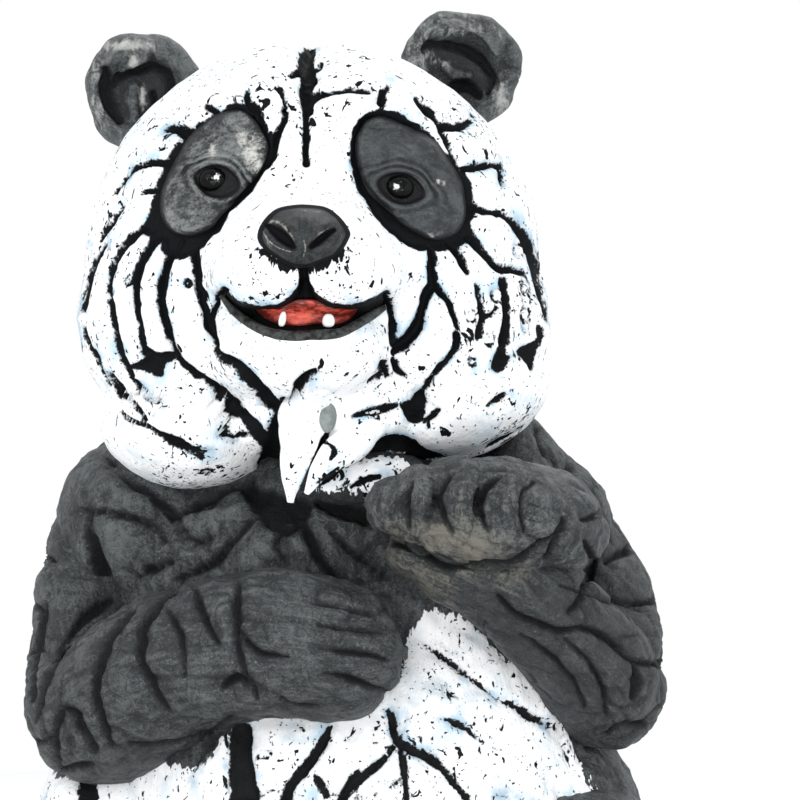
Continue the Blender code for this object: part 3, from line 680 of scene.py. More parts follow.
print("head")
head = {
    "middle": (313.0, 285.0, -30.0),
    "lobes": (
        ((313, 262, -25), (232, 190, 224), 0),
        ((182, 326, -70), (104, 120, 100), 8),
        ((445, 335, -70), (106, 120, 112), -8),
        ((186, 426, -75), (84, 112, 62), 6),
        ((454, 404, -75), (88, 105, 50), -16),
        ((304, 262, -185), (92, 108, 70), 0),
        ((268, 280, -205), (52, 82, 36), 0),
        ((345, 280, -205), (54, 82, 36), 0),
        ((303, 352, -168), (92, 110, 54), 0),
        ((330, 415, -120), (100, 95, 50), 0),
        ((252, 122, -92), (58, 88, 46), -18),
        ((366, 120, -92), (60, 88, 46), 18),
    ),
    "rings": 230,
    "around": 380,
    # cracks: (column, row, width) along each
    "cracks": (
        ((312, 44, 6), (307, 52, 13), (306, 62, 14), (309, 74, 12), (307, 88, 9)),
        ((307, 68, 8), (298, 70, 8), (291, 74, 4)),
        ((309, 66, 9), (317, 66, 6), (322, 60, 2)),
        ((306, 88, 8), (307, 98, 14), (308, 108, 10)),
        ((310, 98, 9), (318, 94, 7), (334, 90, 3), (350, 88, 3), (371, 90, 3)),
        ((307, 107, 5), (306, 116, 5), (306, 134, 6), (305, 148, 6), (306, 161, 6)),
        ((278, 86, 3), (286, 96, 4), (286, 108, 3), (283, 122, 5), (276, 136, 7), (271, 150, 8),
         (268, 160, 6)),
        ((247, 88, 3), (246, 96, 6), (252, 106, 9), (262, 116, 6)),
        ((204, 105, 4), (211, 110, 6), (219, 115, 5)),
        ((165, 128, 4), (174, 127, 8), (184, 132, 10), (192, 132, 7)),
        ((383, 100, 9), (384, 92, 7), (390, 84, 4)),
        ((418, 98, 4), (424, 104, 8), (432, 111, 9), (439, 119, 4)),
        ((438, 119, 2), (446, 134, 3), (453, 150, 3), (461, 168, 2)),
        ((445, 124, 8), (456, 126, 6), (464, 124, 7), (471, 119, 4)),
        ((466, 168, 6), (480, 165, 6), (492, 164, 5), (503, 163, 4)),
        ((500, 163, 4), (504, 172, 5), (505, 184, 3)),
        ((176, 156, 8), (164, 160, 6), (150, 162, 5), (141, 165, 5), (130, 171, 4), (121, 181, 3),
         (114, 192, 2)),
        ((158, 188, 5), (149, 190, 4), (141, 192, 2)),
        ((121, 206, 2), (113, 216, 5), (105, 228, 4), (98, 239, 3)),
        ((104, 244, 2), (94, 260, 4), (86, 284, 6), (81, 310, 4)),
        ((142, 228, 7), (130, 237, 7), (119, 250, 5), (111, 268, 4), (108, 290, 4), (111, 318, 5),
         (117, 346, 5), (130, 377, 4)),
        ((156, 236, 9), (148, 248, 8), (139, 264, 8), (134, 286, 7), (136, 312, 5), (140, 332, 4),
         (143, 354, 6)),
        ((176, 240, 12), (170, 252, 9), (164, 272, 8), (160, 298, 8), (167, 328, 8), (170, 338, 6)),
        ((170, 336, 5), (174, 346, 4), (180, 360, 4)),
        ((192, 246, 8), (193, 260, 8), (197, 285, 6), (206, 316, 6), (213, 344, 5)),
        ((213, 350, 5), (219, 357, 8), (231, 365, 12), (243, 376, 13), (256, 389, 12), (270, 403, 12),
         (282, 416, 11)),
        ((180, 360, 4), (188, 368, 5), (198, 376, 5), (209, 384, 5), (221, 394, 8)),
        ((283, 404, 9), (277, 420, 12), (273, 440, 18), (271, 462, 22), (272, 484, 26), (270, 512, 28)),
        ((118, 410, 2), (127, 419, 4), (143, 425, 4), (151, 430, 3), (163, 437, 6), (177, 444, 10),
         (190, 451, 7), (208, 454, 1)),
        ((109, 374, 2), (119, 388, 4), (131, 400, 4), (144, 419, 4)),
        ((132, 382, 3), (142, 391, 6), (152, 397, 5), (164, 404, 2)),
        ((221, 435, 2), (228, 433, 4), (238, 435, 4), (250, 436, 2)),
        ((82, 328, 2), (86, 343, 3), (94, 356, 3), (101, 370, 2), (107, 386, 2)),
        ((111, 383, 2), (120, 398, 2)),
        ((315, 373, 5), (306, 379, 9), (299, 389, 9), (294, 402, 7)),
        ((331, 430, 3), (324, 441, 5), (317, 458, 5), (311, 476, 6), (305, 492, 7)),
        ((352, 418, 2), (364, 414, 6), (378, 411, 7), (390, 407, 6), (399, 403, 3)),
        ((383, 371, 3), (387, 364, 5), (389, 378, 3)),
        ((371, 384, 2), (379, 379, 4), (385, 374, 2)),
        ((397, 361, 4), (398, 371, 5), (405, 377, 3)),
        ((373, 421, 3), (379, 428, 6), (378, 438, 4)),
        ((474, 206, 8), (484, 210, 6), (498, 213, 4), (509, 217, 6), (519, 226, 8), (530, 242, 9),
         (535, 258, 9), (539, 274, 7), (542, 290, 5), (546, 305, 3), (549, 322, 2)),
        ((472, 236, 8), (479, 246, 7), (488, 256, 6), (500, 266, 8), (514, 268, 7), (526, 272, 4)),
        ((453, 242, 9), (461, 256, 8), (468, 270, 5)),
        ((432, 248, 8), (433, 262, 7), (434, 276, 7), (434, 285, 10)),
        ((433, 285, 9), (426, 297, 10), (421, 312, 8), (416, 328, 11), (406, 341, 12), (398, 352, 7)),
        ((436, 285, 7), (446, 298, 6), (453, 313, 6), (458, 328, 4)),
        ((457, 334, 7), (456, 348, 6), (446, 362, 5), (436, 372, 4), (427, 386, 6)),
        ((477, 284, 3), (481, 300, 4), (484, 314, 5), (492, 314, 4), (499, 306, 2)),
        ((484, 318, 5), (481, 328, 5), (479, 338, 4)),
        ((504, 280, 7), (507, 292, 6), (508, 306, 7), (508, 320, 8), (505, 342, 10)),
        ((489, 408, 2), (499, 400, 5), (508, 395, 3)),
        ((424, 422, 4), (431, 418, 6), (438, 410, 4)),
        ((303, 262, 8), (304, 272, 8), (304, 282, 9), (305, 290, 12)),
        ((222, 292, 6), (217, 298, 6), (214, 308, 5), (211, 322, 5), (211, 334, 5), (213, 346, 5)),
        ((388, 297, 6), (391, 308, 5), (393, 324, 5), (397, 344, 6)),
        # the last: a black band under the head's lower edge, painted shadow of the gap between head and chest
        ((344, 468, 8), (360, 460, 11), (377, 452, 14), (392, 447, 18), (408, 448, 14), (422, 457, 10),
         (442, 463, 9), (464, 464, 10), (484, 460, 12)),
    ),
    # filled dark places
    "blots": (
        ((231, 103), (246, 105), (256, 113), (265, 124), (271, 138), (275, 151), (271, 163), (264, 169),
         (256, 181), (246, 193), (233, 206), (223, 216), (216, 228), (203, 242), (190, 253), (172, 258),
         (160, 250), (158, 240), (141, 232), (145, 221), (151, 204), (154, 186), (160, 170), (166, 156),
         (174, 146), (181, 138), (190, 130), (203, 120), (218, 110)),
        ((360, 121), (364, 116), (372, 111), (383, 108), (400, 113), (412, 120), (425, 128), (435, 136),
         (444, 146), (454, 160), (461, 169), (470, 177), (473, 184), (474, 196), (477, 208), (474, 221),
         (474, 232), (468, 241), (459, 246), (446, 249), (432, 250), (416, 248), (405, 242), (396, 233),
         (386, 223), (375, 211), (365, 198), (359, 186), (354, 172), (351, 158), (351, 143), (353, 131)),
        ((131, 368), (143, 360), (146, 350), (158, 354), (176, 353), (177, 358), (165, 366), (160, 379),
         (150, 374), (138, 372)),
        ((426, 385), (423, 396), (424, 408), (420, 420), (411, 422), (405, 408), (402, 404), (412, 398)),
        ((505, 340), (507, 356), (512, 355), (509, 368), (497, 372), (494, 366), (498, 352)),
        ((519, 353), (528, 346), (540, 338), (541, 326), (545, 332), (540, 352), (533, 370), (529, 362)),
        ((330, 484), (350, 470), (380, 462), (410, 458), (440, 467), (476, 463), (492, 446), (512, 436),
         (534, 430), (562, 440), (540, 500), (430, 530), (330, 530)),
        ((225, 394), (234, 402), (242, 409), (250, 417), (258, 426), (266, 435), (277, 437), (284, 460),
         (292, 500), (300, 530), (230, 530), (247, 486), (259, 474), (267, 463), (263, 452), (253, 440),
         (243, 428), (233, 414)),
    ),
    "blotDepth": 8.0,
    "stamps": ((521, 250, 5.5), (473, 316, 5.0), (528, 286, 5.0), (529, 299, 4.0), (527, 314, 5.0),
               (529, 327, 4.5), (491, 339, 5.0), (498, 294, 6.0), (473, 363, 4.0), (187, 283, 3.0),
               (126, 280, 3.0)),
    # where more of the black shows: column, row, radius, share
    "busy": (
        (190, 482, 52, 0.95), (250, 470, 30, 0.5), (262, 288, 36, 0.85), (345, 288, 34, 0.55),
        (335, 352, 40, 0.2), (520, 425, 40, 0.8), (470, 352, 40, 0.4), (515, 300, 34, 0.55),
        (455, 108, 46, 0.5), (380, 62, 50, 0.35), (240, 74, 50, 0.35), (150, 146, 40, 0.45),
        (105, 250, 40, 0.5), (318, 130, 40, 0.4), (370, 440, 26, 0.4), (285, 330, 30, 0.2),
        (90, 340, 30, 0.4), (538, 230, 36, 0.45), (245, 360, 30, 0.35),
    ),
}
headPoints = lobedGrid(head, (-0.05, -1.0, 0.10), head["rings"], head["around"], near=0.6)

eyes = {
    "left": {
        "outline": (
            (241, 110), (253, 118), (262, 130), (268, 143), (267, 156), (261, 171), (251, 183), (241, 193),
            (231, 206), (221, 216), (213, 226), (201, 233), (186, 236), (171, 231), (161, 216), (160, 196),
            (165, 181), (171, 168), (179, 153), (188, 138), (201, 125), (215, 115), (228, 111),
        ),
        "ball": (214.0, 180.5), "painted_glint": (216.5, 176.5), "almond": ((217.0, 181.5), (23.5, 16.5), 14.0),
        "worn": (((252, 151), 13.0), ((243, 139), 8.0), ((258, 166), 7.0), ((212, 151), 6.0)),
    },
    "right": {
        "outline": (
            (378, 116), (388, 118), (400, 123), (412, 128), (425, 134), (437, 142), (444, 152), (452, 164),
            (458, 174), (463, 184), (465, 197), (466, 209), (465, 220), (460, 230), (451, 237), (437, 240),
            (424, 237), (412, 230), (400, 222), (391, 213), (379, 203), (368, 192), (362, 179), (357, 163),
            (355, 147), (358, 133), (366, 121),
        ),
        "ball": (398.5, 188.0), "painted_glint": (396.7, 186.5), "almond": ((401.0, 188.5), (24.5, 15.5), 16.0),
        "worn": (((432, 238), 4.5), ((438, 181), 2.5), ((444, 184), 2.0)),
    },
}
mouth = {
    "depth": 24.0,
    "opening": (
        (220, 290), (229, 296), (240, 301), (250, 304), (262, 305), (276, 304), (287, 300), (296, 292),
        (301, 285), (308, 285), (314, 292), (322, 299), (332, 303), (346, 304), (362, 301), (376, 296),
        (390, 292), (388, 306), (376, 314), (360, 325), (340, 334), (317, 337), (290, 338), (270, 334),
        (256, 328), (240, 318), (229, 308),
    ),
    "lip": (
        (221, 296, 2.0), (230, 307, 3.5), (242, 318, 4.5), (257, 328, 5.0), (272, 334, 5.6),
        (288, 336.5, 5.6), (303, 336.5, 5.8), (319, 335.5, 5.8), (340, 333, 4.8), (357, 324.5, 4.8),
        (373, 314.5, 4.6), (387, 306, 2.4),
    ),
    "red": (
        (256, 308), (266, 308), (278, 307.5), (288, 304), (296, 300), (306, 299), (317, 300), (326, 304),
        (335, 307), (346, 308), (357, 307), (355, 314), (347, 321), (334, 325), (318, 324), (300, 326),
        (284, 325), (270, 321), (261, 315),
    ),
    "teeth": (((282.5, 319.0), 7.5, 15.0, 8.0), ((328.5, 320.5), 12.5, 13.5, 0.0)),
}

nose = {
    "outline": (
        (257, 234), (261, 224), (269, 214), (277, 208), (290, 205), (304, 204), (324, 206), (337, 213),
        (345, 222), (351, 233), (348, 242), (343, 250), (336, 257), (324, 262), (311, 267), (301, 268),
        (293, 267), (283, 263), (272, 256), (264, 250), (258, 242),
    ),
    "middle": (304, 236),
    "height": 24.0,
    "nostrils": (((268, 226, 6), (275, 231, 10), (284, 238, 12), (291, 244, 9), (294, 247, 4)),
                 ((334, 230, 4), (326, 235, 7), (318, 241, 8), (311, 247, 4))),
    "rims": (((268, 224, 1.6), (274, 221, 2.6), (282, 225, 2.8), (290, 234, 2.4), (296, 245, 1.6)),
             ((263, 232, 0.8), (269, 241, 1.0), (279, 248, 1.0), (291, 252, 0.8)),
             ((304, 241, 1.0), (305.5, 248, 1.4), (303.5, 256, 1.0)),
             ((329, 228, 0.6), (321, 233, 1.0), (313, 240, 0.8))),
}


headCarved, headPaint, where, normals = carved(headPoints, head, depth=12.0, crown=4.5, rough=0.9)
facing = smoothStep(0.0, 0.2, -normals[:, 1])
flat = headCarved.reshape(-1, 3)
mouthGap = outlineGap(where, mouth["opening"])
flat[:, 1] += mouth["depth"] * facing * smoothStep(0.5, -4.5, mouthGap)
headPaint["crack"] = np.minimum(headPaint["crack"], mouthGap + farOff * (1.0 - facing) - 0.4)
headPaint["dark"] = np.full(len(flat), allWhite)
noseGap = outlineGap(where, nose["outline"])
headPaint["fringe"] = smoothStep(15.0, 0.0, noseGap) * smoothStep(243.0, 254.0, where[:, 1]) * facing
skin("head", flat.reshape(headCarved.shape), furPaint("head_fur", flecks=1.0), headPaint)


# A pad on the head's front: rings drawn in from an outline towards a middle, each with its own lift above
# the head, out to the rim and back behind to a closed point
def pad(name, form, outline, middle, around, rise, material, rings=90, sunk=14.0, paint=None):
    rim = curveThrough(outline, 12, closed=True)[:-1]
    step = np.linspace(0.0, len(rim), around, endpoint=False)
    count = np.arange(len(rim) + 1)
    rim = np.stack([np.interp(step, count, np.append(rim[:, k], rim[0, k])) for k in (0, 1)], axis=1)
    share = np.concatenate((np.linspace(0.012, 1.0, rings), np.linspace(0.97, 0.02, 8)))
    place = np.array(middle, float) + share[:, None, None] * (rim - np.array(middle, float))
    behind = (np.arange(len(share)) >= rings)[:, None]
    lift = np.where(behind, -sunk, rise(place, share[:, None] * np.ones(around)[None]))
    points = fromSheet(place[..., 0], place[..., 1], depthOn(form, place) - lift)
    return skin(name, points, material, paint(points, place, share) if paint else None)


print("eyes")


# how far a place is from the eye's almond, 1 on its edge: narrower towards its two corners
def almondAway(place, almond):
    (cx, cy), (wide, tall), tilt = almond
    c, s = cosSin(tilt)
    x, y = place[..., 0] - cx, place[..., 1] - cy
    across = (x * c + y * s) / wide
    down = (y * c - x * s) / (tall * (1.0 - 0.25 * np.clip(across * across, 0.0, 1.3)))
    return np.hypot(across, down), down


# how far from the almond's middle each fold lies, its width and its height
lidFolds = ((1.24, 0.10, 3.2), (1.46, 0.07, -2.8), (1.64, 0.12, 2.2), (1.92, 0.08, -2.0))


# lids: a raised edge round the almond, thin folds above it, and the hollow that the ball sits in
def eyeRise(spot):
    def rise(place, share):
        away, down = almondAway(place, spot["almond"])
        upper, lower = smoothStep(0.5, -0.3, down), smoothStep(-0.3, 0.5, down)
        edge = outlineGap(place.reshape(-1, 2), spot["outline"]).reshape(share.shape)
        flat = fromSheet(place[..., 0], place[..., 1], -200.0).reshape(-1, 3)
        wander = 0.11 * lumps(flat, 17.0, 5.0).reshape(share.shape)
        folds = np.zeros(away.shape)
        for middle, width, height in lidFolds:
            folds += height * bell(away + wander - middle, width)
        under = 2.2 * bell(away + wander - 1.22, 0.12) - 1.8 * bell(away - 1.52, 0.10)
        socket = -5.5 * smoothStep(1.10, 0.80, away)
        grain = (0.9 * lumps(flat, 16.0, 8.0) + 0.55 * lumps(flat, 6.0, 9.0)).reshape(share.shape)
        return 1.0 - 7.0 * smoothStep(-6.0, 1.0, edge) + folds * upper + under * lower + socket + grain

    return rise


# Eye patch paint: charcoal dragged with grey, nearly bare and pale at the worn places
def patchPaint(name, grey):
    made = Shader(name)
    high, worn, lens = made.attributes("high", "worn", "lens")
    fine = made.noise(made.place, 1000.0, 4.0, 0.65)
    drag = made.noise(made.stretched((0.5, 1.0, 1.0), (0.0, 0.5, 0.0)), 420.0, 4.0, 0.7)
    slow = made.noise(made.place, 80.0, 2.0, 0.5)
    rubbedShare = made.step(high + (drag - 0.5) * 1.9 + (fine - 0.5) * 1.4 + (slow - 0.5) * 1.9, 0.05, 1.10)
    colour = made.mix(rubbedShare, (0.022, 0.0245, 0.0255), grey)
    pale = made.step(worn + (drag - 0.5) * 1.8 + (fine - 0.5) * 1.4, 0.30, 1.30)
    colour = made.mix(pale, colour, (0.55, 0.54, 0.51))
    colour = made.mix(made.step(high, 0.10, -0.06), colour, furColours["underpaint"])
    colour = made.mix(lens, colour, (0.004, 0.004, 0.0045))
    return made.finish(
        Base_Color=colour,
        Roughness=0.48 + (fine - 0.5) * 0.3,
        Normal=made.bump(drag * 1.2 + fine * 0.9, 0.7, 0.0010),
        Specular_IOR_Level=0.25,
    )


# the balls: black gloss with a small mottled white glint painted into the colour, a painted highlight
def glossPaint(name):
    made = Shader(name)
    fine = made.noise(made.place, 900.0, 3.0, 0.6)
    lit = made.step(made.attributes("painted_glint")[0] + (fine - 0.5) * 2.2, 0.55, 0.95)
    return made.finish(
        Base_Color=made.mix(lit, (0.002, 0.002, 0.002), (0.66, 0.68, 0.67)),
        Roughness=0.10 + (fine - 0.5) * 0.1,
        Normal=made.bump(fine, 0.4, 0.0007),
        Specular_IOR_Level=0.12,
    )


# half width, half height and half depth of a ball, and how far it is let into the head
ballSize = {"half": (15.5, 13.0, 12.0), "sunk": 8.5, "rows": 28, "around": 48}
patchTones = {"left": (0.205, 0.215, 0.214), "right": (0.070, 0.076, 0.078)}
ballFinish = glossPaint("eye_gloss")
for side, spot in eyes.items():
    rise = eyeRise(spot)

    def patchMarks(points, place, share, spot=spot, rise=rise):
        level = rise(place, np.broadcast_to(share[:, None], place.shape[:2]))
        edge = outlineGap(place.reshape(-1, 2), spot["outline"]).reshape(level.shape)
        away, down = almondAway(place, spot["almond"])
        near = np.max([bell(spotAway(place, *at, 0.7), radius) for at, radius in spot["worn"]], axis=0)
        high = 0.46 + 0.10 * (level - 1.0)
        return {"high": np.minimum(high, 0.5 * smoothStep(0.5, -5.0, edge) + 0.25 * high),
                "worn": near, "lens": smoothStep(1.10, 0.98, away)}

    pad(f"patch_{side}", head, spot["outline"], spot["ball"], 190, rise,
        patchPaint("eye_patch_" + side, patchTones[side]), 90, 16.0, patchMarks)
    (column, row), half = spot["ball"], ballSize["half"]
    rows, turn = globeAngles(ballSize["rows"], ballSize["around"])
    depth = depthAt(head, column, row) + ballSize["sunk"]
    ball = fromSheet(column + half[0] * np.sin(rows) * np.cos(turn),
                     row + half[1] * np.sin(rows) * np.sin(turn),
                     depth - half[2] * np.cos(rows) * np.ones_like(turn))
    away = np.linalg.norm(onSheet(ball) - spot["painted_glint"], axis=2)
    # a painted highlight: white round the glint's place on the ball's front, fading out in a wider halo
    lit = (0.95 * bell(away, 2.6) + 0.50 * bell(away, 9.0)) * (rows < 1.5)
    skin(f"eye_{side}", ball, ballFinish, {"painted_glint": lit})

print("nose")


# squares to the nearest nostril and to the nearest rim
def noseGaps(place):
    spots = place.reshape(-1, 2)
    return [crackGap(spots, nose[label], 20.0).reshape(place.shape[:2]) for label in ("nostrils", "rims")]


# a dome of height h * sqrt(1 - share^3), pressed in at the nostrils, with thin raised rims beside them
def noseRise(place, share):
    holes, rims = noseGaps(place)
    flat = fromSheet(place[..., 0], place[..., 1], -280.0).reshape(-1, 3)
    grain = (0.9 * lumps(flat, 12.0, 1.0) + 0.4 * lumps(flat, 5.0, 2.0)).reshape(share.shape)
    dome = nose["height"] * np.sqrt(np.clip(1.0 - share**3.0, 0.0, 1.0)) - 2.0
    tip = 4.0 * np.exp(-(((place[..., 0] - 304) / 26) ** 2) - ((place[..., 1] - 222) / 14) ** 2)
    wings = 2.6 * bell(holes - 6.0, 5.0)
    pressed = 12.0 * smoothStep(2.0, -4.0, holes)
    return dome + tip + wings - pressed + 1.2 * smoothStep(1.8, -0.6, rims) + grain


# charcoal with hairs fanned round the bridge, pale on the rims and black in the nostrils, with a painted
# highlight along the top of the outline
def nosePaint(name):
    made = Shader(name)
    hole, ridge = made.attributes("hole", "ridge")
    pore = made.noise(made.place, 1100.0, 3.0, 0.6)
    drag = made.noise(made.place, 260.0, 4.0, 0.65)
    turn, out = made.attributes("turn", "out")
    fan = made.node("ShaderNodeCombineXYZ", {}, {"X": turn * 9.0, "Y": out * 0.6})
    hair = made.noise(fan, 1.0, 3.0, 0.6)
    tone = made.step(drag * 0.4 + pore * 0.35 + hair * 0.25, 0.36, 0.66)
    colour = made.mix(tone, (0.013, 0.0145, 0.015), (0.052, 0.056, 0.057))
    lit = made.step(ridge + (drag - 0.5) * 2.4 + (pore - 0.5) * 1.2, 0.45, 1.25)
    colour = made.mix(lit, colour, (0.29, 0.275, 0.245))
    colour = made.mix(hole, colour, (0.005, 0.005, 0.006))
    lift = pore * 0.5 + hair * 0.8
    return made.finish(
        Base_Color=colour,
        Roughness=0.46 + hole * 0.4 + (pore - 0.5) * 0.3,
        Normal=made.bump(lift, 0.4, 0.0006),
        Specular_IOR_Level=0.12,
    )


def noseMarks(points, place, share):
    holes, rims = noseGaps(place)
    share = np.broadcast_to(share[:, None], place.shape[:2])
    turn = np.arctan2(place[..., 0] - 304.0, 252.0 - place[..., 1])
    # a painted highlight: a pale line just inside the outline, on the nose's upper part alone
    edge = 0.5 * bell(share - 0.80, 0.022) * smoothStep(258.0, 240.0, place[..., 1])
    return {"hole": np.maximum(smoothStep(1.4, -1.2, holes), smoothStep(0.85, 0.90, share)),
            "ridge": np.maximum(smoothStep(1.4, -0.6, rims), edge), "turn": turn, "out": share}


pad("nose", head, nose["outline"], nose["middle"], 160, noseRise, nosePaint("nose_satin"),
    70, 18.0, noseMarks)

print("mouth")
lipFinish = plainPaint("lip_dark", (0.008, 0.0085, 0.009), (0.064, 0.067, 0.065), 0.45, 480.0, 0.7,
                       specular=0.12)


# a rounded bead along the lower lip: circle of radius r carried along the line, on the head's front
def bead(name, line, material, along=160, around=24):
    track = curveThrough(line, 10)
    depth = depthOn(head, track[:, :2])
    path = np.concatenate((fromSheet(track[:, 0], track[:, 1], depth), track[:, 2:3]), axis=1)
    return skin(name, tubeGrid(path[::3], along, around)[0], material)


bead("lower_lip", mouth["lip"], lipFinish)


# red dragged sideways, deeper towards the rim, with a few pale grains
def gumPaint(name):
    made = Shader(name)
    fine = made.noise(made.stretched((0.6, 1.0, 1.6)), 700.0, 4.0, 0.65)
    slow = made.noise(made.stretched((0.6, 1.0, 1.8)), 190.0, 3.0, 0.6)
    tone = made.step(slow * 0.65 + fine * 0.5 - made.attributes("rim")[0] * 0.22, 0.44, 0.66)
    colour = made.mix(tone, (0.13, 0.016, 0.012), (0.74, 0.100, 0.060))
    colour = made.mix(made.step(fine, 0.64, 0.74) * tone, colour, (0.70, 0.30, 0.22))
    return made.finish(Base_Color=colour, Roughness=0.36, Normal=made.bump(fine, 0.5, 0.0008))


# below the head's front, and deeper towards the rim, with low lumps
def gumRise(place, share):
    flat = fromSheet(place[..., 0], place[..., 1], -250.0).reshape(-1, 3)
    return -10.0 - 7.0 * share**4 + 1.8 * lumps(flat, 9.0, 6.0).reshape(share.shape)


pad("gum", head, mouth["red"], (305, 313), 110, gumRise, gumPaint("gum_red"), 28, 22.0,
    lambda points, place, share: {"rim": np.broadcast_to(share[:, None], place.shape[:2]) ** 5})

toothFinish = plainPaint("tooth_white", (0.93, 0.93, 0.91), (0.88, 0.87, 0.84), 0.25, 300.0, 0.1)
for count, ((column, row), wide, tall, lean) in enumerate(mouth["teeth"]):
    depth = depthAt(head, column, row)
    rows, turn = globeAngles(28, 32)
    # a capsule, a little narrower towards its upper end, leaning sideways
    x = 0.5 * wide * np.sin(rows) ** 0.7 * np.cos(turn) * (1.0 - 0.12 * np.cos(rows))
    y = -0.5 * tall * np.cos(rows) * np.ones_like(turn)
    z = 0.35 * wide * np.sin(rows) ** 0.7 * np.sin(turn)
    x = x - math.tan(math.radians(lean)) * y
    skin(f"tooth_{count + 1}", fromSheet(column + x, row + y, depth + 2.0 + z), toothFinish)

print("tufts")
tufts = {
    "chin": {
        # column, row, how far its middle stands behind the front of the chin, radius
        "line": ((318, 384, 22, 15), (313, 398, 20, 21), (306, 416, 15, 25), (301, 436, 6, 22),
                 (297, 458, -3, 17), (293, 480, -6, 10), (291, 500, -6, 4)),
        "flat": 0.62,
        "cracks": (((330, 430, 4), (324, 441, 5), (317, 458, 5), (311, 476, 6), (305, 494, 7)),),
        "busy": ((318, 420, 20, 0.2),),
    },
    "side": {
        "line": ((372, 424, 14, 14), (356, 438, 8, 18), (338, 452, 2, 17), (323, 468, -2, 12),
                 (313, 483, -4, 7), (307, 492, -4, 3)),
        "flat": 0.62,
        "cracks": (((318, 484, 2), (329, 477, 4), (338, 469, 2)),
                   ((326, 442, 2), (334, 450, 4), (330, 458, 2))),
        "busy": ((322, 478, 16, 0.8), (345, 462, 18, 0.8)),
    },
    "bib": {
        "middle": (366, 478, -142), "radii": (60, 26, 24), "tilt": -10,
        "cracks": (((318, 484, 3), (329, 477, 5), (338, 469, 3)),
                   ((352, 488, 3), (366, 480, 5), (380, 477, 3))),
        "busy": ((345, 482, 24, 1.0), (372, 486, 30, 0.9), (400, 470, 22, 1.0)),
    },
    # the bib's white area
    "white": ((316, 492), (322, 482), (330, 474), (346, 466), (366, 459), (388, 456), (404, 461), (412, 472),
              (400, 481), (384, 488), (367, 495), (350, 491), (334, 490)),
    # the bare grey chip: column, row, half width, depth and height
    "chip": ((328, 417), (8.5, 7, 15.5), 4),
    "chinEnds": 426.0,
    "ragged": 2.6,
}
tuftFinish = furPaint("tuft_fur", flecks=0.5)
for label in ("chin", "side"):
    tuft = tufts[label]
    line = np.array(tuft["line"], float)
    # below the chin the tuft hangs on straight down from where the chin's front ends
    front = depthOn(head, np.minimum(line[:, :2], (999.0, tufts["chinEnds"])))
    hung = [(*fromSheet(c, r, d + back), radius) for (c, r, back, radius), d in zip(line, front)]
    tube = tubeGrid(hung, 110, 90, math.pi)[0]
    centre = tube.mean(axis=1, keepdims=True)
    tube[..., 1] = centre[..., 1] + tuft["flat"] * (tube - centre)[..., 1]
    tube[..., 0] += tufts["ragged"] * lumps(tube.reshape(-1, 3), 15.0, 9.0).reshape(tube.shape[:2])
    furPiece(f"tuft_{label}", tube, tuft, "white_fur", tuftFinish, allWhite,
             depth=6.0, crown=1.5, rough=0.9, ringed=False)


# points of a tilted ellipsoid, its pole towards the front
def ballGrid(middle, radii, tilt, rings, around):
    polar = ((np.arange(rings) + 0.6) / (rings + 0.2) * math.pi)[:, None]
    turn = turnsRound(around)[None]
    x, z = np.sin(polar) * np.cos(turn) * radii[0], np.sin(polar) * np.sin(turn) * radii[2]
    y = -np.cos(polar) * np.ones_like(turn) * radii[1]
    c, s = cosSin(tilt)
    return np.array(middle, float) + np.stack((x * c + z * s, y, z * c - x * s), axis=2)


bib = tufts["bib"]
bibPoints = ballGrid(fromSheet(*bib["middle"]), bib["radii"], bib["tilt"], 80, 120)
furPiece("tuft_bib", bibPoints, bib, "white_fur", tuftFinish, allWhite,
         lambda paint, where, normals: {"dark": outlineGap(where, tufts["white"])},
         depth=5.0, crown=2.0, rough=1.2, ringed=False)

chipFinish = plainPaint("bare_chip", (0.235, 0.265, 0.25), (0.150, 0.172, 0.164), 0.7, 300.0, 0.3)
at, radii, tilt = tufts["chip"]
chip = ballGrid(fromSheet(*at, depthAt(head, *at) - 1.0), radii, tilt, 40, 60)
skin("chip", chip + 0.8 * lumps(chip.reshape(-1, 3), 6.0).reshape(40, 60, 1), chipFinish)

print("ears")
ears = {
    "left": {
        "middle": (143, 92, 38), "radius": 62.0, "thick": 25.0, "turn": -14.0,
        # pale places, brushed grey and, on the lump and the rim's edge, painted highlight: column, row, half
        # width, half height, share
        "pale": ((136, 61, 6, 7, 1.5), (143, 98, 3, 13, 1.5), (154, 66, 9, 3, 0.9), (130, 46, 24, 3.5, 1.1),
                 (100, 112, 8, 16, 0.6), (96, 70, 6, 14, 0.5)),
        "cracks": (
            ((114, 86, 6), (121, 77, 9), (134, 71, 9), (151, 68, 8), (163, 74, 9), (168, 88, 8),
             (164, 102, 4)),
            ((106, 70, 8), (107, 88, 15), (111, 104, 14), (120, 118, 8)),
            ((152, 92, 6), (154, 106, 6), (148, 118, 4)),
        ),
        "ridges": (
            (((108, 62, 4), (118, 49, 6), (136, 41, 7), (152, 46, 6), (160, 58, 4)), 5.0),
            (((122, 70, 7), (134, 62, 10), (146, 57, 8)), 8.0),
            (((134, 88, 14), (133, 104, 15), (136, 116, 10)), 8.0),
            (((142, 88, 3), (142, 100, 3), (138, 112, 3)), 3.0),
        ),
    },
    "right": {
        "middle": (461, 70, 38), "radius": 63.0, "thick": 25.0, "turn": 12.0,
        "pale": ((448, 62, 14, 4, 0.8), (470, 30, 26, 4, 0.6), (500, 104, 8, 18, 0.6), (420, 60, 8, 14, 0.4)),
        "cracks": (
            ((424, 50, 5), (432, 45, 8), (450, 47, 9), (470, 54, 9), (485, 66, 9), (490, 80, 7),
             (487, 92, 4)),
            ((446, 92, 8), (458, 86, 12), (470, 86, 12), (478, 94, 8)),
        ),
        "ridges": (
            (((424, 36, 4), (440, 25, 6), (462, 24, 7), (484, 36, 6), (498, 54, 5)), 5.0),
            (((442, 66, 12), (454, 74, 13), (468, 76, 10)), 8.0),
            (((500, 74, 5), (502, 90, 6), (496, 106, 4)), 4.0),
        ),
    },
}


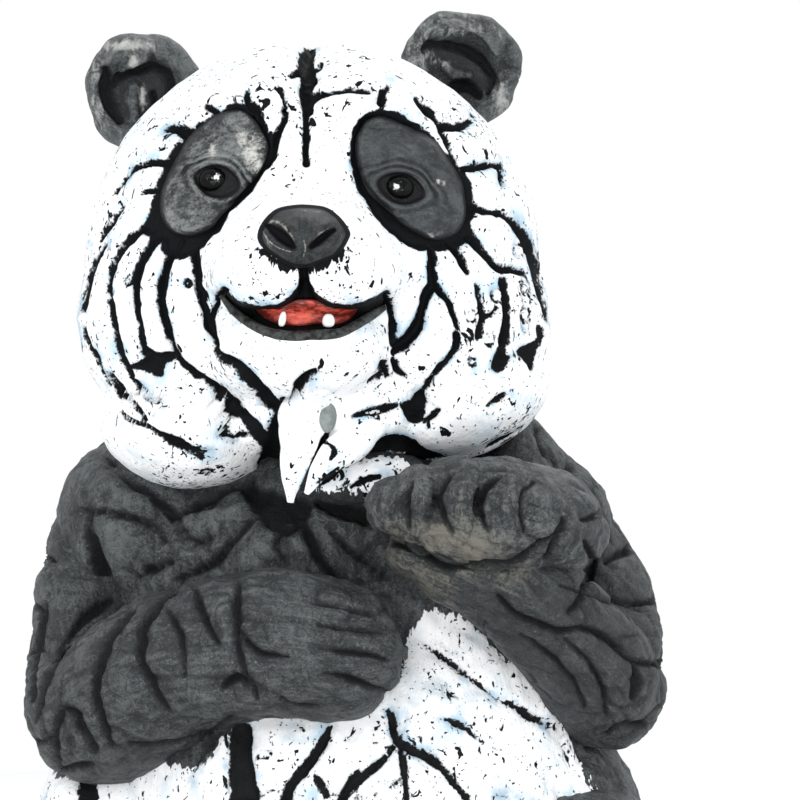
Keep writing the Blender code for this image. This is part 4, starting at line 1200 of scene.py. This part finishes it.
# a flattened ball with its front pressed into a cup
def earGrid(ear, rings=130, around=180):
    polar = (np.arange(rings) + 0.6) / (rings + 0.2) * math.pi
    turn = turnsRound(around)
    right = np.sin(polar)[:, None] * np.cos(turn)
    up = np.sin(polar)[:, None] * np.sin(turn)
    depth = -np.cos(polar)[:, None] * np.ones(around)
    out = np.hypot(right, up)
    front = smoothStep(0.05, -0.35, depth)
    cup = 1.30 * ear["thick"] * np.exp(-((out / 0.64) ** 4)) * front
    swell = 1.0 + 0.035 * np.sin(3 * turn + 0.6) + 0.02 * np.sin(7 * turn)
    x, y, z = right * swell * ear["radius"], depth * ear["thick"] + cup, up * swell * ear["radius"]
    c, s = cosSin(ear["turn"])
    turned = np.stack((x * c - y * s, x * s + y * c, z), axis=2)
    return fromSheet(*ear["middle"]) + turned, cup / ear["thick"]


# on the ears the pale bloom is partly painted highlight, on the cup's lump and on the rim's edge
earFinish = furPaint("ear_fur", rubbed=1.0, dustAndHighlight=1.0, warm=0.3, bloom=(0.46, 0.46, 0.44), specular=0.26)
for side, ear in ears.items():
    points, hollow = earGrid(ear)

    # deeper tone in the cup, and the pale places, partly painted highlight, on the front alone
    def earMarks(paint, where, normals, ear=ear, hollow=hollow):
        pale = np.max([share * bell(np.hypot((where[:, 0] - c) / across, (where[:, 1] - r) / down), 1.0)
                       for c, r, across, down, share in ear["pale"]], axis=0)
        return {"high": paint["high"] + 0.25 - 0.65 * smoothStep(0.2, 1.1, hollow.ravel()),
                "dust_and_highlight": pale * smoothStep(0.0, 0.2, -normals[:, 1])}

    furPiece(f"ear_{side}", points, ear, "black_fur", earFinish, allBlack, earMarks,
             depth=8.0, crown=2.0, rough=1.4, creased=1.0, ringed=False)

print("trunk")
trunk = {
    "middle": (345.0, 720.0, 20.0),
    "lobes": (
        ((335, 570, 25), (232, 172, 150), 0),
        ((150, 525, 40), (98, 125, 92), 30),
        ((526, 534, 45), (92, 125, 86), -30),
        ((520, 462, 10), (36, 80, 52), -10),
        ((348, 790, 5), (262, 208, 205), 0),
        ((440, 690, -45), (130, 100, 95), 0),
        ((128, 820, 20), (92, 150, 95), 10),
        ((560, 815, 30), (84, 150, 95), -10),
        ((345, 920, 70), (292, 190, 150), 0),
    ),
    "rings": 156,
    "around": 350,
    "cracks": (
        ((105, 455, 4), (128, 480, 5), (147, 491, 7), (165, 505, 9), (172, 516, 9), (181, 514, 6),
         (212, 495, 6), (252, 480, 5)),
        ((74, 509, 3), (90, 510, 5), (107, 512, 6), (139, 520, 6), (159, 531, 6), (166, 541, 3)),
        ((88, 514, 5), (92, 545, 9), (100, 570, 14), (107, 586, 12)),
        ((107, 586, 8), (94, 594, 10), (82, 600, 6)),
        ((60, 552, 8), (55, 572, 16), (64, 588, 18), (76, 596, 8)),
        ((112, 588, 6), (128, 580, 9), (148, 570, 9), (168, 562, 4)),
        ((252, 519, 3), (234, 538, 6), (212, 562, 7), (190, 574, 6), (172, 580, 3)),
        ((300, 520, 8), (306, 530, 10), (313, 546, 10), (320, 560, 9), (329, 573, 9), (340, 586, 8),
         (357, 597, 7), (380, 606, 5)),
        ((330, 532, 3), (346, 546, 6), (358, 556, 6), (370, 566, 5), (388, 578, 3)),
        ((256, 500, 4), (262, 514, 8), (272, 524, 10), (288, 530, 9), (300, 522, 8)),
        # a wide groove under the chin tuft, its black standing as painted shade in the deep gap there
        ((246, 488, 14), (262, 500, 26), (282, 508, 30), (300, 506, 22)),
        ((318, 500, 10), (340, 508, 16), (366, 516, 16)),
        ((280, 534, 3), (276, 548, 5), (284, 560, 3)),
        ((180, 520, 2), (190, 536, 4), (204, 540, 3), (212, 530, 2)),
        ((424, 642, 1), (442, 654, 3), (460, 668, 4), (480, 684, 2), (492, 694, 1)),
        ((497, 698, 1), (514, 707, 4), (532, 716, 5), (558, 730, 1)),
        ((444, 719, 1), (458, 724, 5), (470, 729, 3), (486, 744, 1)),
        ((388, 708, 4), (393, 718, 7), (396, 738, 8), (410, 748, 8), (430, 757, 9), (444, 768, 6),
         (462, 790, 6), (476, 812, 6)),
        ((396, 742, 5), (386, 756, 5), (378, 764, 8), (364, 776, 7), (348, 792, 6), (338, 812, 6)),
        ((401, 752, 5), (405, 770, 6), (407, 790, 5), (407, 812, 5)),
        ((330, 726, 3), (322, 744, 8), (308, 764, 9), (292, 784, 9), (280, 810, 9)),
        ((314, 774, 3), (320, 784, 7), (328, 796, 5)),
        ((362, 768, 2), (352, 780, 6), (342, 800, 8), (334, 815, 7)),
        ((240, 730, 20), (240, 765, 24), (244, 812, 30)),
        ((86, 772, 14), (86, 796, 18), (92, 830, 16)),
        ((573, 470, 9), (560, 474, 6), (548, 478, 2)),
        ((545, 412, 2), (540, 430, 4), (546, 452, 5), (556, 462, 2)),
    ),
    "ridges": (
        (((92, 520, 4), (84, 548, 16), (90, 575, 8)), 5.0),
        (((112, 528, 10), (126, 548, 30), (118, 575, 12)), 4.0),
        (((176, 522, 8), (206, 522, 26), (236, 512, 10)), 5.0),
        (((178, 548, 8), (200, 552, 16), (222, 544, 6)), 4.0),
        (((252, 540, 4), (264, 550, 15), (276, 556, 5)), 7.0),
        (((290, 536, 4), (298, 543, 13), (306, 550, 4)), 7.0),
        (((194, 524, 3), (201, 533, 5), (208, 528, 3)), 4.0),
    ),
    "busy": (
        (458, 628, 30, 0.6), (520, 680, 40, 0.5), (450, 715, 50, 0.55), (290, 750, 50, 0.65),
        (330, 790, 40, 0.5), (150, 790, 60, 0.4), (430, 790, 50, 0.4), (550, 750, 40, 0.4),
        (360, 720, 40, 0.3),
    ),
    # the white of the belly, seen from the front; under the left forearm its top edge keeps below the arm,
    # and the band between is painted black as the arm's shadow
    "white": (
        (-150, 778), (60, 776), (97, 782), (110, 776), (128, 769), (165, 764), (205, 765), (226, 735),
        (262, 700), (380, 690), (405, 660), (413, 630), (430, 611), (458, 617), (494, 647), (533, 676),
        (566, 713), (571, 746), (588, 779), (606, 815), (622, 900), (640, 1100), (-150, 1100),
    ),
    # how high the white goes behind
    "whiteBehind": 300.0,
}
trunkPoints = lobedGrid(trunk, (0.0, 0.0, 1.0), trunk["rings"], trunk["around"], frontShare=-0.28)
points, paint, where, normals = carved(trunkPoints, trunk, depth=11.0, crown=4.0, rough=1.7, creased=2.2,
                                       wrinkled=40.0)
flat = points.reshape(-1, 3)
flat[:, 2] = np.maximum(flat[:, 2], sheet["sunk"])
# black over the white's outline in front, and down to a wavy line behind
line = trunk["whiteBehind"] + 12.0 * np.sin(flat[:, 0] / 34.0) + 8.0 * np.sin(flat[:, 0] / 13.0)
behind = smoothStep(-20.0, 60.0, flat[:, 1])
inFront = outlineGap(where, trunk["white"]) - 60.0 * smoothStep(800.0, 860.0, where[:, 1])
paint["dark"] = np.clip((1.0 - behind) * inFront + behind * (flat[:, 2] - line), allWhite, allBlack)
trunkFinish = furPaint("trunk_fur", flecks=0.8, rubbed=1.0, warm=0.7, specular=0.20)
skin("trunk", flat.reshape(points.shape), trunkFinish, paint)

print("arms")
arms = {
    "left": {
        "line": ((128, 498, 45, 62), (96, 585, 25, 60), (88, 668, -25, 62), (100, 710, -80, 76),
                 (152, 680, -135, 79), (205, 655, -172, 75), (270, 644, -200, 73), (332, 650, -214, 70),
                 (370, 652, -220, 58), (388, 653, -222, 43), (398, 653, -222, 26), (402, 653, -222, 8)),
        "cracks": (
            ((176, 587, 3), (163, 597, 6), (154, 607, 8), (143, 622, 9), (139, 642, 9), (141, 664, 8),
             (154, 690, 7), (168, 712, 3)),
            ((132, 608, 3), (117, 624, 6), (106, 642, 7), (96, 672, 8), (96, 700, 7), (105, 730, 5),
             (112, 748, 2)),
            ((167, 610, 3), (175, 625, 6), (181, 642, 5), (184, 676, 2)),
            ((195, 587, 3), (198, 602, 7), (206, 622, 7), (216, 642, 4)),
            ((238, 581, 3), (236, 602, 8), (236, 632, 6), (243, 668, 4), (258, 700, 2)),
            ((240, 630, 3), (250, 644, 6), (262, 654, 6), (288, 657, 2)),
            ((222, 690, 4), (230, 683, 9), (240, 680, 8), (248, 688, 3)),
            ((58, 712, 3), (55, 728, 5), (54, 746, 6), (60, 768, 3)),
            ((60, 708, 4), (70, 712, 7), (80, 728, 8), (95, 752, 4)),
            ((76, 619, 2), (66, 638, 4), (54, 662, 4), (42, 684, 4), (34, 722, 2)),
            ((46, 604, 3), (41, 622, 6), (36, 645, 6), (30, 700, 3)),
            ((113, 600, 5), (98, 607, 10), (84, 617, 12), (72, 630, 7), (66, 644, 3)),
            ((316, 602, 1), (340, 606, 3), (372, 610, 2)),
            ((318, 624, 1), (344, 627, 4), (384, 632, 2)),
            ((320, 649, 1), (345, 652, 5), (370, 655, 5), (390, 660, 2)),
            ((322, 674, 1), (340, 678, 5), (362, 684, 6), (388, 695, 2)),
            ((280, 700, 2), (296, 706, 3), (318, 708, 2)),
            ((130, 745, 2), (160, 746, 4), (200, 738, 3), (232, 722, 2)),
            ((58, 775, 3), (72, 768, 6), (92, 766, 3)),
            ((28, 556, 8), (44, 556, 5), (54, 560, 2)), ((20, 604, 7), (34, 606, 5), (46, 612, 2)),
            ((18, 656, 7), (30, 652, 4), (40, 648, 2)), ((30, 745, 7), (44, 742, 4), (54, 736, 2)),
        ),
    },
    "rightUpper": {
        "line": ((538, 514, 50, 64), (578, 572, 20, 60), (602, 632, -15, 62), (598, 690, -60, 60)),
    },
    "rightLower": {
        "line": ((606, 690, -55, 60), (590, 664, -105, 60), (548, 615, -155, 57), (498, 575, -190, 53),
                 (450, 556, -208, 45), (415, 548, -210, 30)),
    },
    "right": {
        "cracks": (
            ((565, 518, 3), (560, 530, 6), (546, 562, 3)),
            ((588, 543, 3), (592, 556, 7), (591, 570, 7), (583, 598, 6), (571, 613, 3)),
            ((499, 598, 3), (507, 608, 6), (518, 617, 7), (540, 626, 7), (562, 632, 6), (582, 628, 4)),
            ((582, 628, 4), (598, 632, 7), (618, 646, 7), (634, 660, 5), (668, 664, 8)),
            ((637, 663, 4), (640, 680, 9), (635, 700, 5)),
            ((378, 536, 4), (392, 544, 6), (414, 550, 7), (446, 568, 6), (472, 565, 5), (512, 566, 5),
             (537, 547, 5), (566, 529, 3)),
            ((520, 636, 2), (545, 652, 4), (570, 680, 3), (584, 706, 2)),
            ((586, 520, 3), (598, 515, 7), (616, 508, 10)),
            ((606, 560, 3), (618, 554, 7), (634, 548, 10)),
            ((620, 600, 2), (640, 602, 5), (662, 600, 7)),
            ((560, 585, 1), (600, 596, 3), (640, 610, 2)),
            ((600, 740, 2), (618, 728, 5), (644, 726, 6)),
            ((566, 640, 2), (590, 664, 4), (604, 690, 4), (606, 716, 2)),
        ),
    },
    "paw": {
        "middle": (512.0, 518.0, -200.0),
        "lobes": (
            ((476, 517, -228), (96, 58, 53), 4),
            ((546, 522, -165), (64, 80, 50), 25),
            ((400, 508, -232), (24, 40, 26), 0),
            ((430, 506, -236), (26, 44, 33), 0),
            ((464, 504, -238), (28, 46, 38), 0),
            ((504, 506, -232), (30, 46, 40), 0),
        ),
        "cracks": (
            ((412, 482, 2), (407, 492, 6), (406, 506, 6), (409, 528, 2)),
            ((448, 474, 2), (440, 488, 7), (438, 504, 7), (443, 518, 5), (452, 532, 2)),
            ((501, 476, 2), (486, 485, 7), (479, 498, 8), (480, 514, 6), (488, 530, 2)),
            ((536, 480, 1), (524, 492, 2), (521, 510, 2), (526, 534, 1)),
        ),
        "ridges": (
            (((444, 520, 1), (450, 530, 4), (456, 538, 1)), 3.0),
            (((480, 518, 1), (487, 530, 4), (493, 538, 1)), 3.0),
            (((500, 484, 4), (512, 506, 22), (508, 530, 8)), 2.5),
        ),
    },
    # places brushed with a dusty grey on the right paw and forearm: column, row, radius, share
    "dust_and_highlight": ((395, 545, 34, 0.8), (440, 542, 30, 1.0), (475, 552, 34, 1.0), (505, 560, 30, 0.8),
             (425, 582, 44, 0.8), (470, 535, 60, 0.45), (540, 500, 50, 0.3), (410, 610, 30, 0.5)),
}
armFinish = furPaint("arm_fur", rubbed=0.92, flow=True, specular=0.26)
rightFinish = furPaint("right_arm_fur", rubbed=0.40, dustAndHighlight=1.0, flow=True, specular=0.26)
pawFinish = furPaint("paw_fur", rubbed=1.0, dustAndHighlight=1.0, specular=0.26)


def armMarks(paint, where, normals):
    spots = [share * bell(spotAway(where, c, r), radius) for c, r, radius, share in arms["dust_and_highlight"]]
    return {"dust_and_highlight": np.max(spots, axis=0)}


# an arm's part or the paw, its folds lying at so many degrees
def darkPiece(name, grid, shape, finish, wrinkled, creased, flow=None):
    return furPiece(name, grid, shape, "black_fur", finish, allBlack, armMarks, flow,
                    depth=9.0, crown=3.5, rough=1.6, creased=creased, wrinkled=wrinkled)


leftTube, leftFlow = tubeGrid(sheetLine(arms["left"]["line"]), 270, 186, math.pi)
darkPiece("arm_left", leftTube, arms["left"], armFinish, 4.0, 1.4, leftFlow)
rightShape = {"cracks": arms["right"]["cracks"] + arms["paw"]["cracks"], "ridges": arms["paw"]["ridges"]}
for label, along, around in (("rightUpper", 150, 150), ("rightLower", 190, 180)):
    tube, flow = tubeGrid(sheetLine(arms[label]["line"]), along, around, math.pi)
    darkPiece("arm_" + label, tube, rightShape, rightFinish, 48.0, 2.4, flow)
pawPoints = lobedGrid(arms["paw"], (-0.1, -1.0, 0.05), 160, 260, near=0.7)
darkPiece("paw_right", pawPoints, rightShape, pawFinish, 20.0, 1.6)

print("legs and tail")
legs = {
    "left": ((-165, 70, 100, 104), (-212, -80, 96, 94), (-196, -190, 80, 74), (-190, -248, 80, 62)),
    "right": ((185, 70, 112, 108), (238, -60, 138, 92), (214, -180, 96, 76), (200, -246, 80, 62)),
    "feet": {"left": ((-190, -258, 86), (72, 60, 86), 6.0), "right": ((200, -256, 86), (72, 60, 86), -6.0)},
    # across the sole: the cracks between the toes, and the pads under them
    "toes": (-42.0, -15.0, 14.0, 40.0),
    "pads": (-43.0, -15.0, 15.0, 43.0),
    "tail": ((6, 232, 70), (46, 30, 42)),
}
legFinish = furPaint("leg_fur", rubbed=1.0, specular=0.26)
for side in ("left", "right"):
    leg = tubeGrid(legs[side], 100, 120)[0]
    furPiece(f"leg_{side}", leg, {}, "black_fur", legFinish, allBlack,
             depth=7.0, crown=3.0, rough=1.3, creased=1.6)

    middle, radii, tilt = legs["feet"][side]
    foot = ballGrid(middle, radii, tilt, 100, 140)
    flat = foot.reshape(-1, 3)
    normals = gridNormals(foot).reshape(-1, 3)
    x, z = flat[:, 0] - middle[0], flat[:, 2] - middle[2]
    tall = radii[2]
    toes = [((0.8 * t, 0.95 * tall, 6), (t, 0.62 * tall, 8), (0.92 * t, 0.30 * tall, 4))
            for t in legs["toes"]]
    gap = crackGap(np.stack((x, z), axis=1), toes) + farOff * smoothStep(-0.1, 0.1, normals[:, 1])
    # one big pad and four small ones under the toes, as low smooth mounds
    sole = [np.hypot(x / 40.0, (z + 26.0) / 27.0)]
    sole += [np.hypot((x - t) / 9.5, (z - 21.0 + 0.004 * t * t) / 9.5) for t in legs["pads"]]
    mound = np.max([smoothStep(1.05, 0.7, m) for m in sole], axis=0) * smoothStep(0.1, -0.3, normals[:, 1])
    relief = 1.2 * lumps(flat, 26.0, 7.0) + 0.8 * lumps(flat, 10.0, 3.0)
    out = 3.5 * mound - 7.0 * smoothStep(1.8, -4.0, gap) + relief * (1.0 - 0.7 * mound)
    shape = flat + normals * out[:, None]
    shape[:, 2] = np.maximum(shape[:, 2], sheet["sunk"])
    marks = {"crack": gap, "high": 0.45 + 0.15 * relief - 0.5 * mound, "dark": np.full(len(flat), allBlack)}
    skin(f"foot_{side}", shape.reshape(foot.shape), legFinish, marks)

furPiece("tail", ballGrid(*legs["tail"], 0.0, 50, 80), {}, "white_fur", furPaint("tail_fur", flecks=0.8),
         allWhite, depth=5.0, crown=2.0, rough=1.5, ringed=False)

print("base")
base = {"squareness": 0.6, "edge": 0.003}


# a rounded square, |cos|^q and |sin|^q, carried down a profile: top, rounded edge, side, edge, underside
def baseGrid(around=180):
    half = np.array(sheet["baseHalf"]) * square + sheet["margin"]
    top, edge = sheet["baseTop"], base["edge"]
    bend = np.linspace(0.0, 0.5 * math.pi, 7)
    inner = np.linspace(0.03, 0.97, 12)
    lip = edge / half[0]
    share = np.concatenate((inner, 1.0 - lip * (1.0 - np.sin(bend)), 1.0 - lip * (1.0 - np.cos(bend)),
                            inner[::-2]))
    height = np.concatenate((np.full(len(inner), top), top - edge * (1.0 - np.cos(bend)),
                             edge * (1.0 - np.sin(bend)), np.zeros(len(inner[::-2]))))
    turn = turnsRound(around)
    c, s = np.cos(turn), np.sin(turn)
    x = np.sign(c) * np.abs(c) ** base["squareness"] * half[0]
    y = np.sign(s) * np.abs(s) ** base["squareness"] * half[1]
    points = np.stack((share[:, None] * x, share[:, None] * y, height[:, None] * np.ones(around)), axis=2)
    return (points - (0.0, 0.0, top)) / square + (0.0, sheet["back"], 0.0)


baseFinish = plainPaint("base_satin", (0.028, 0.0285, 0.030), (0.058, 0.058, 0.058), 0.42, 160.0, 0.35)
skin("base", baseGrid(), baseFinish)
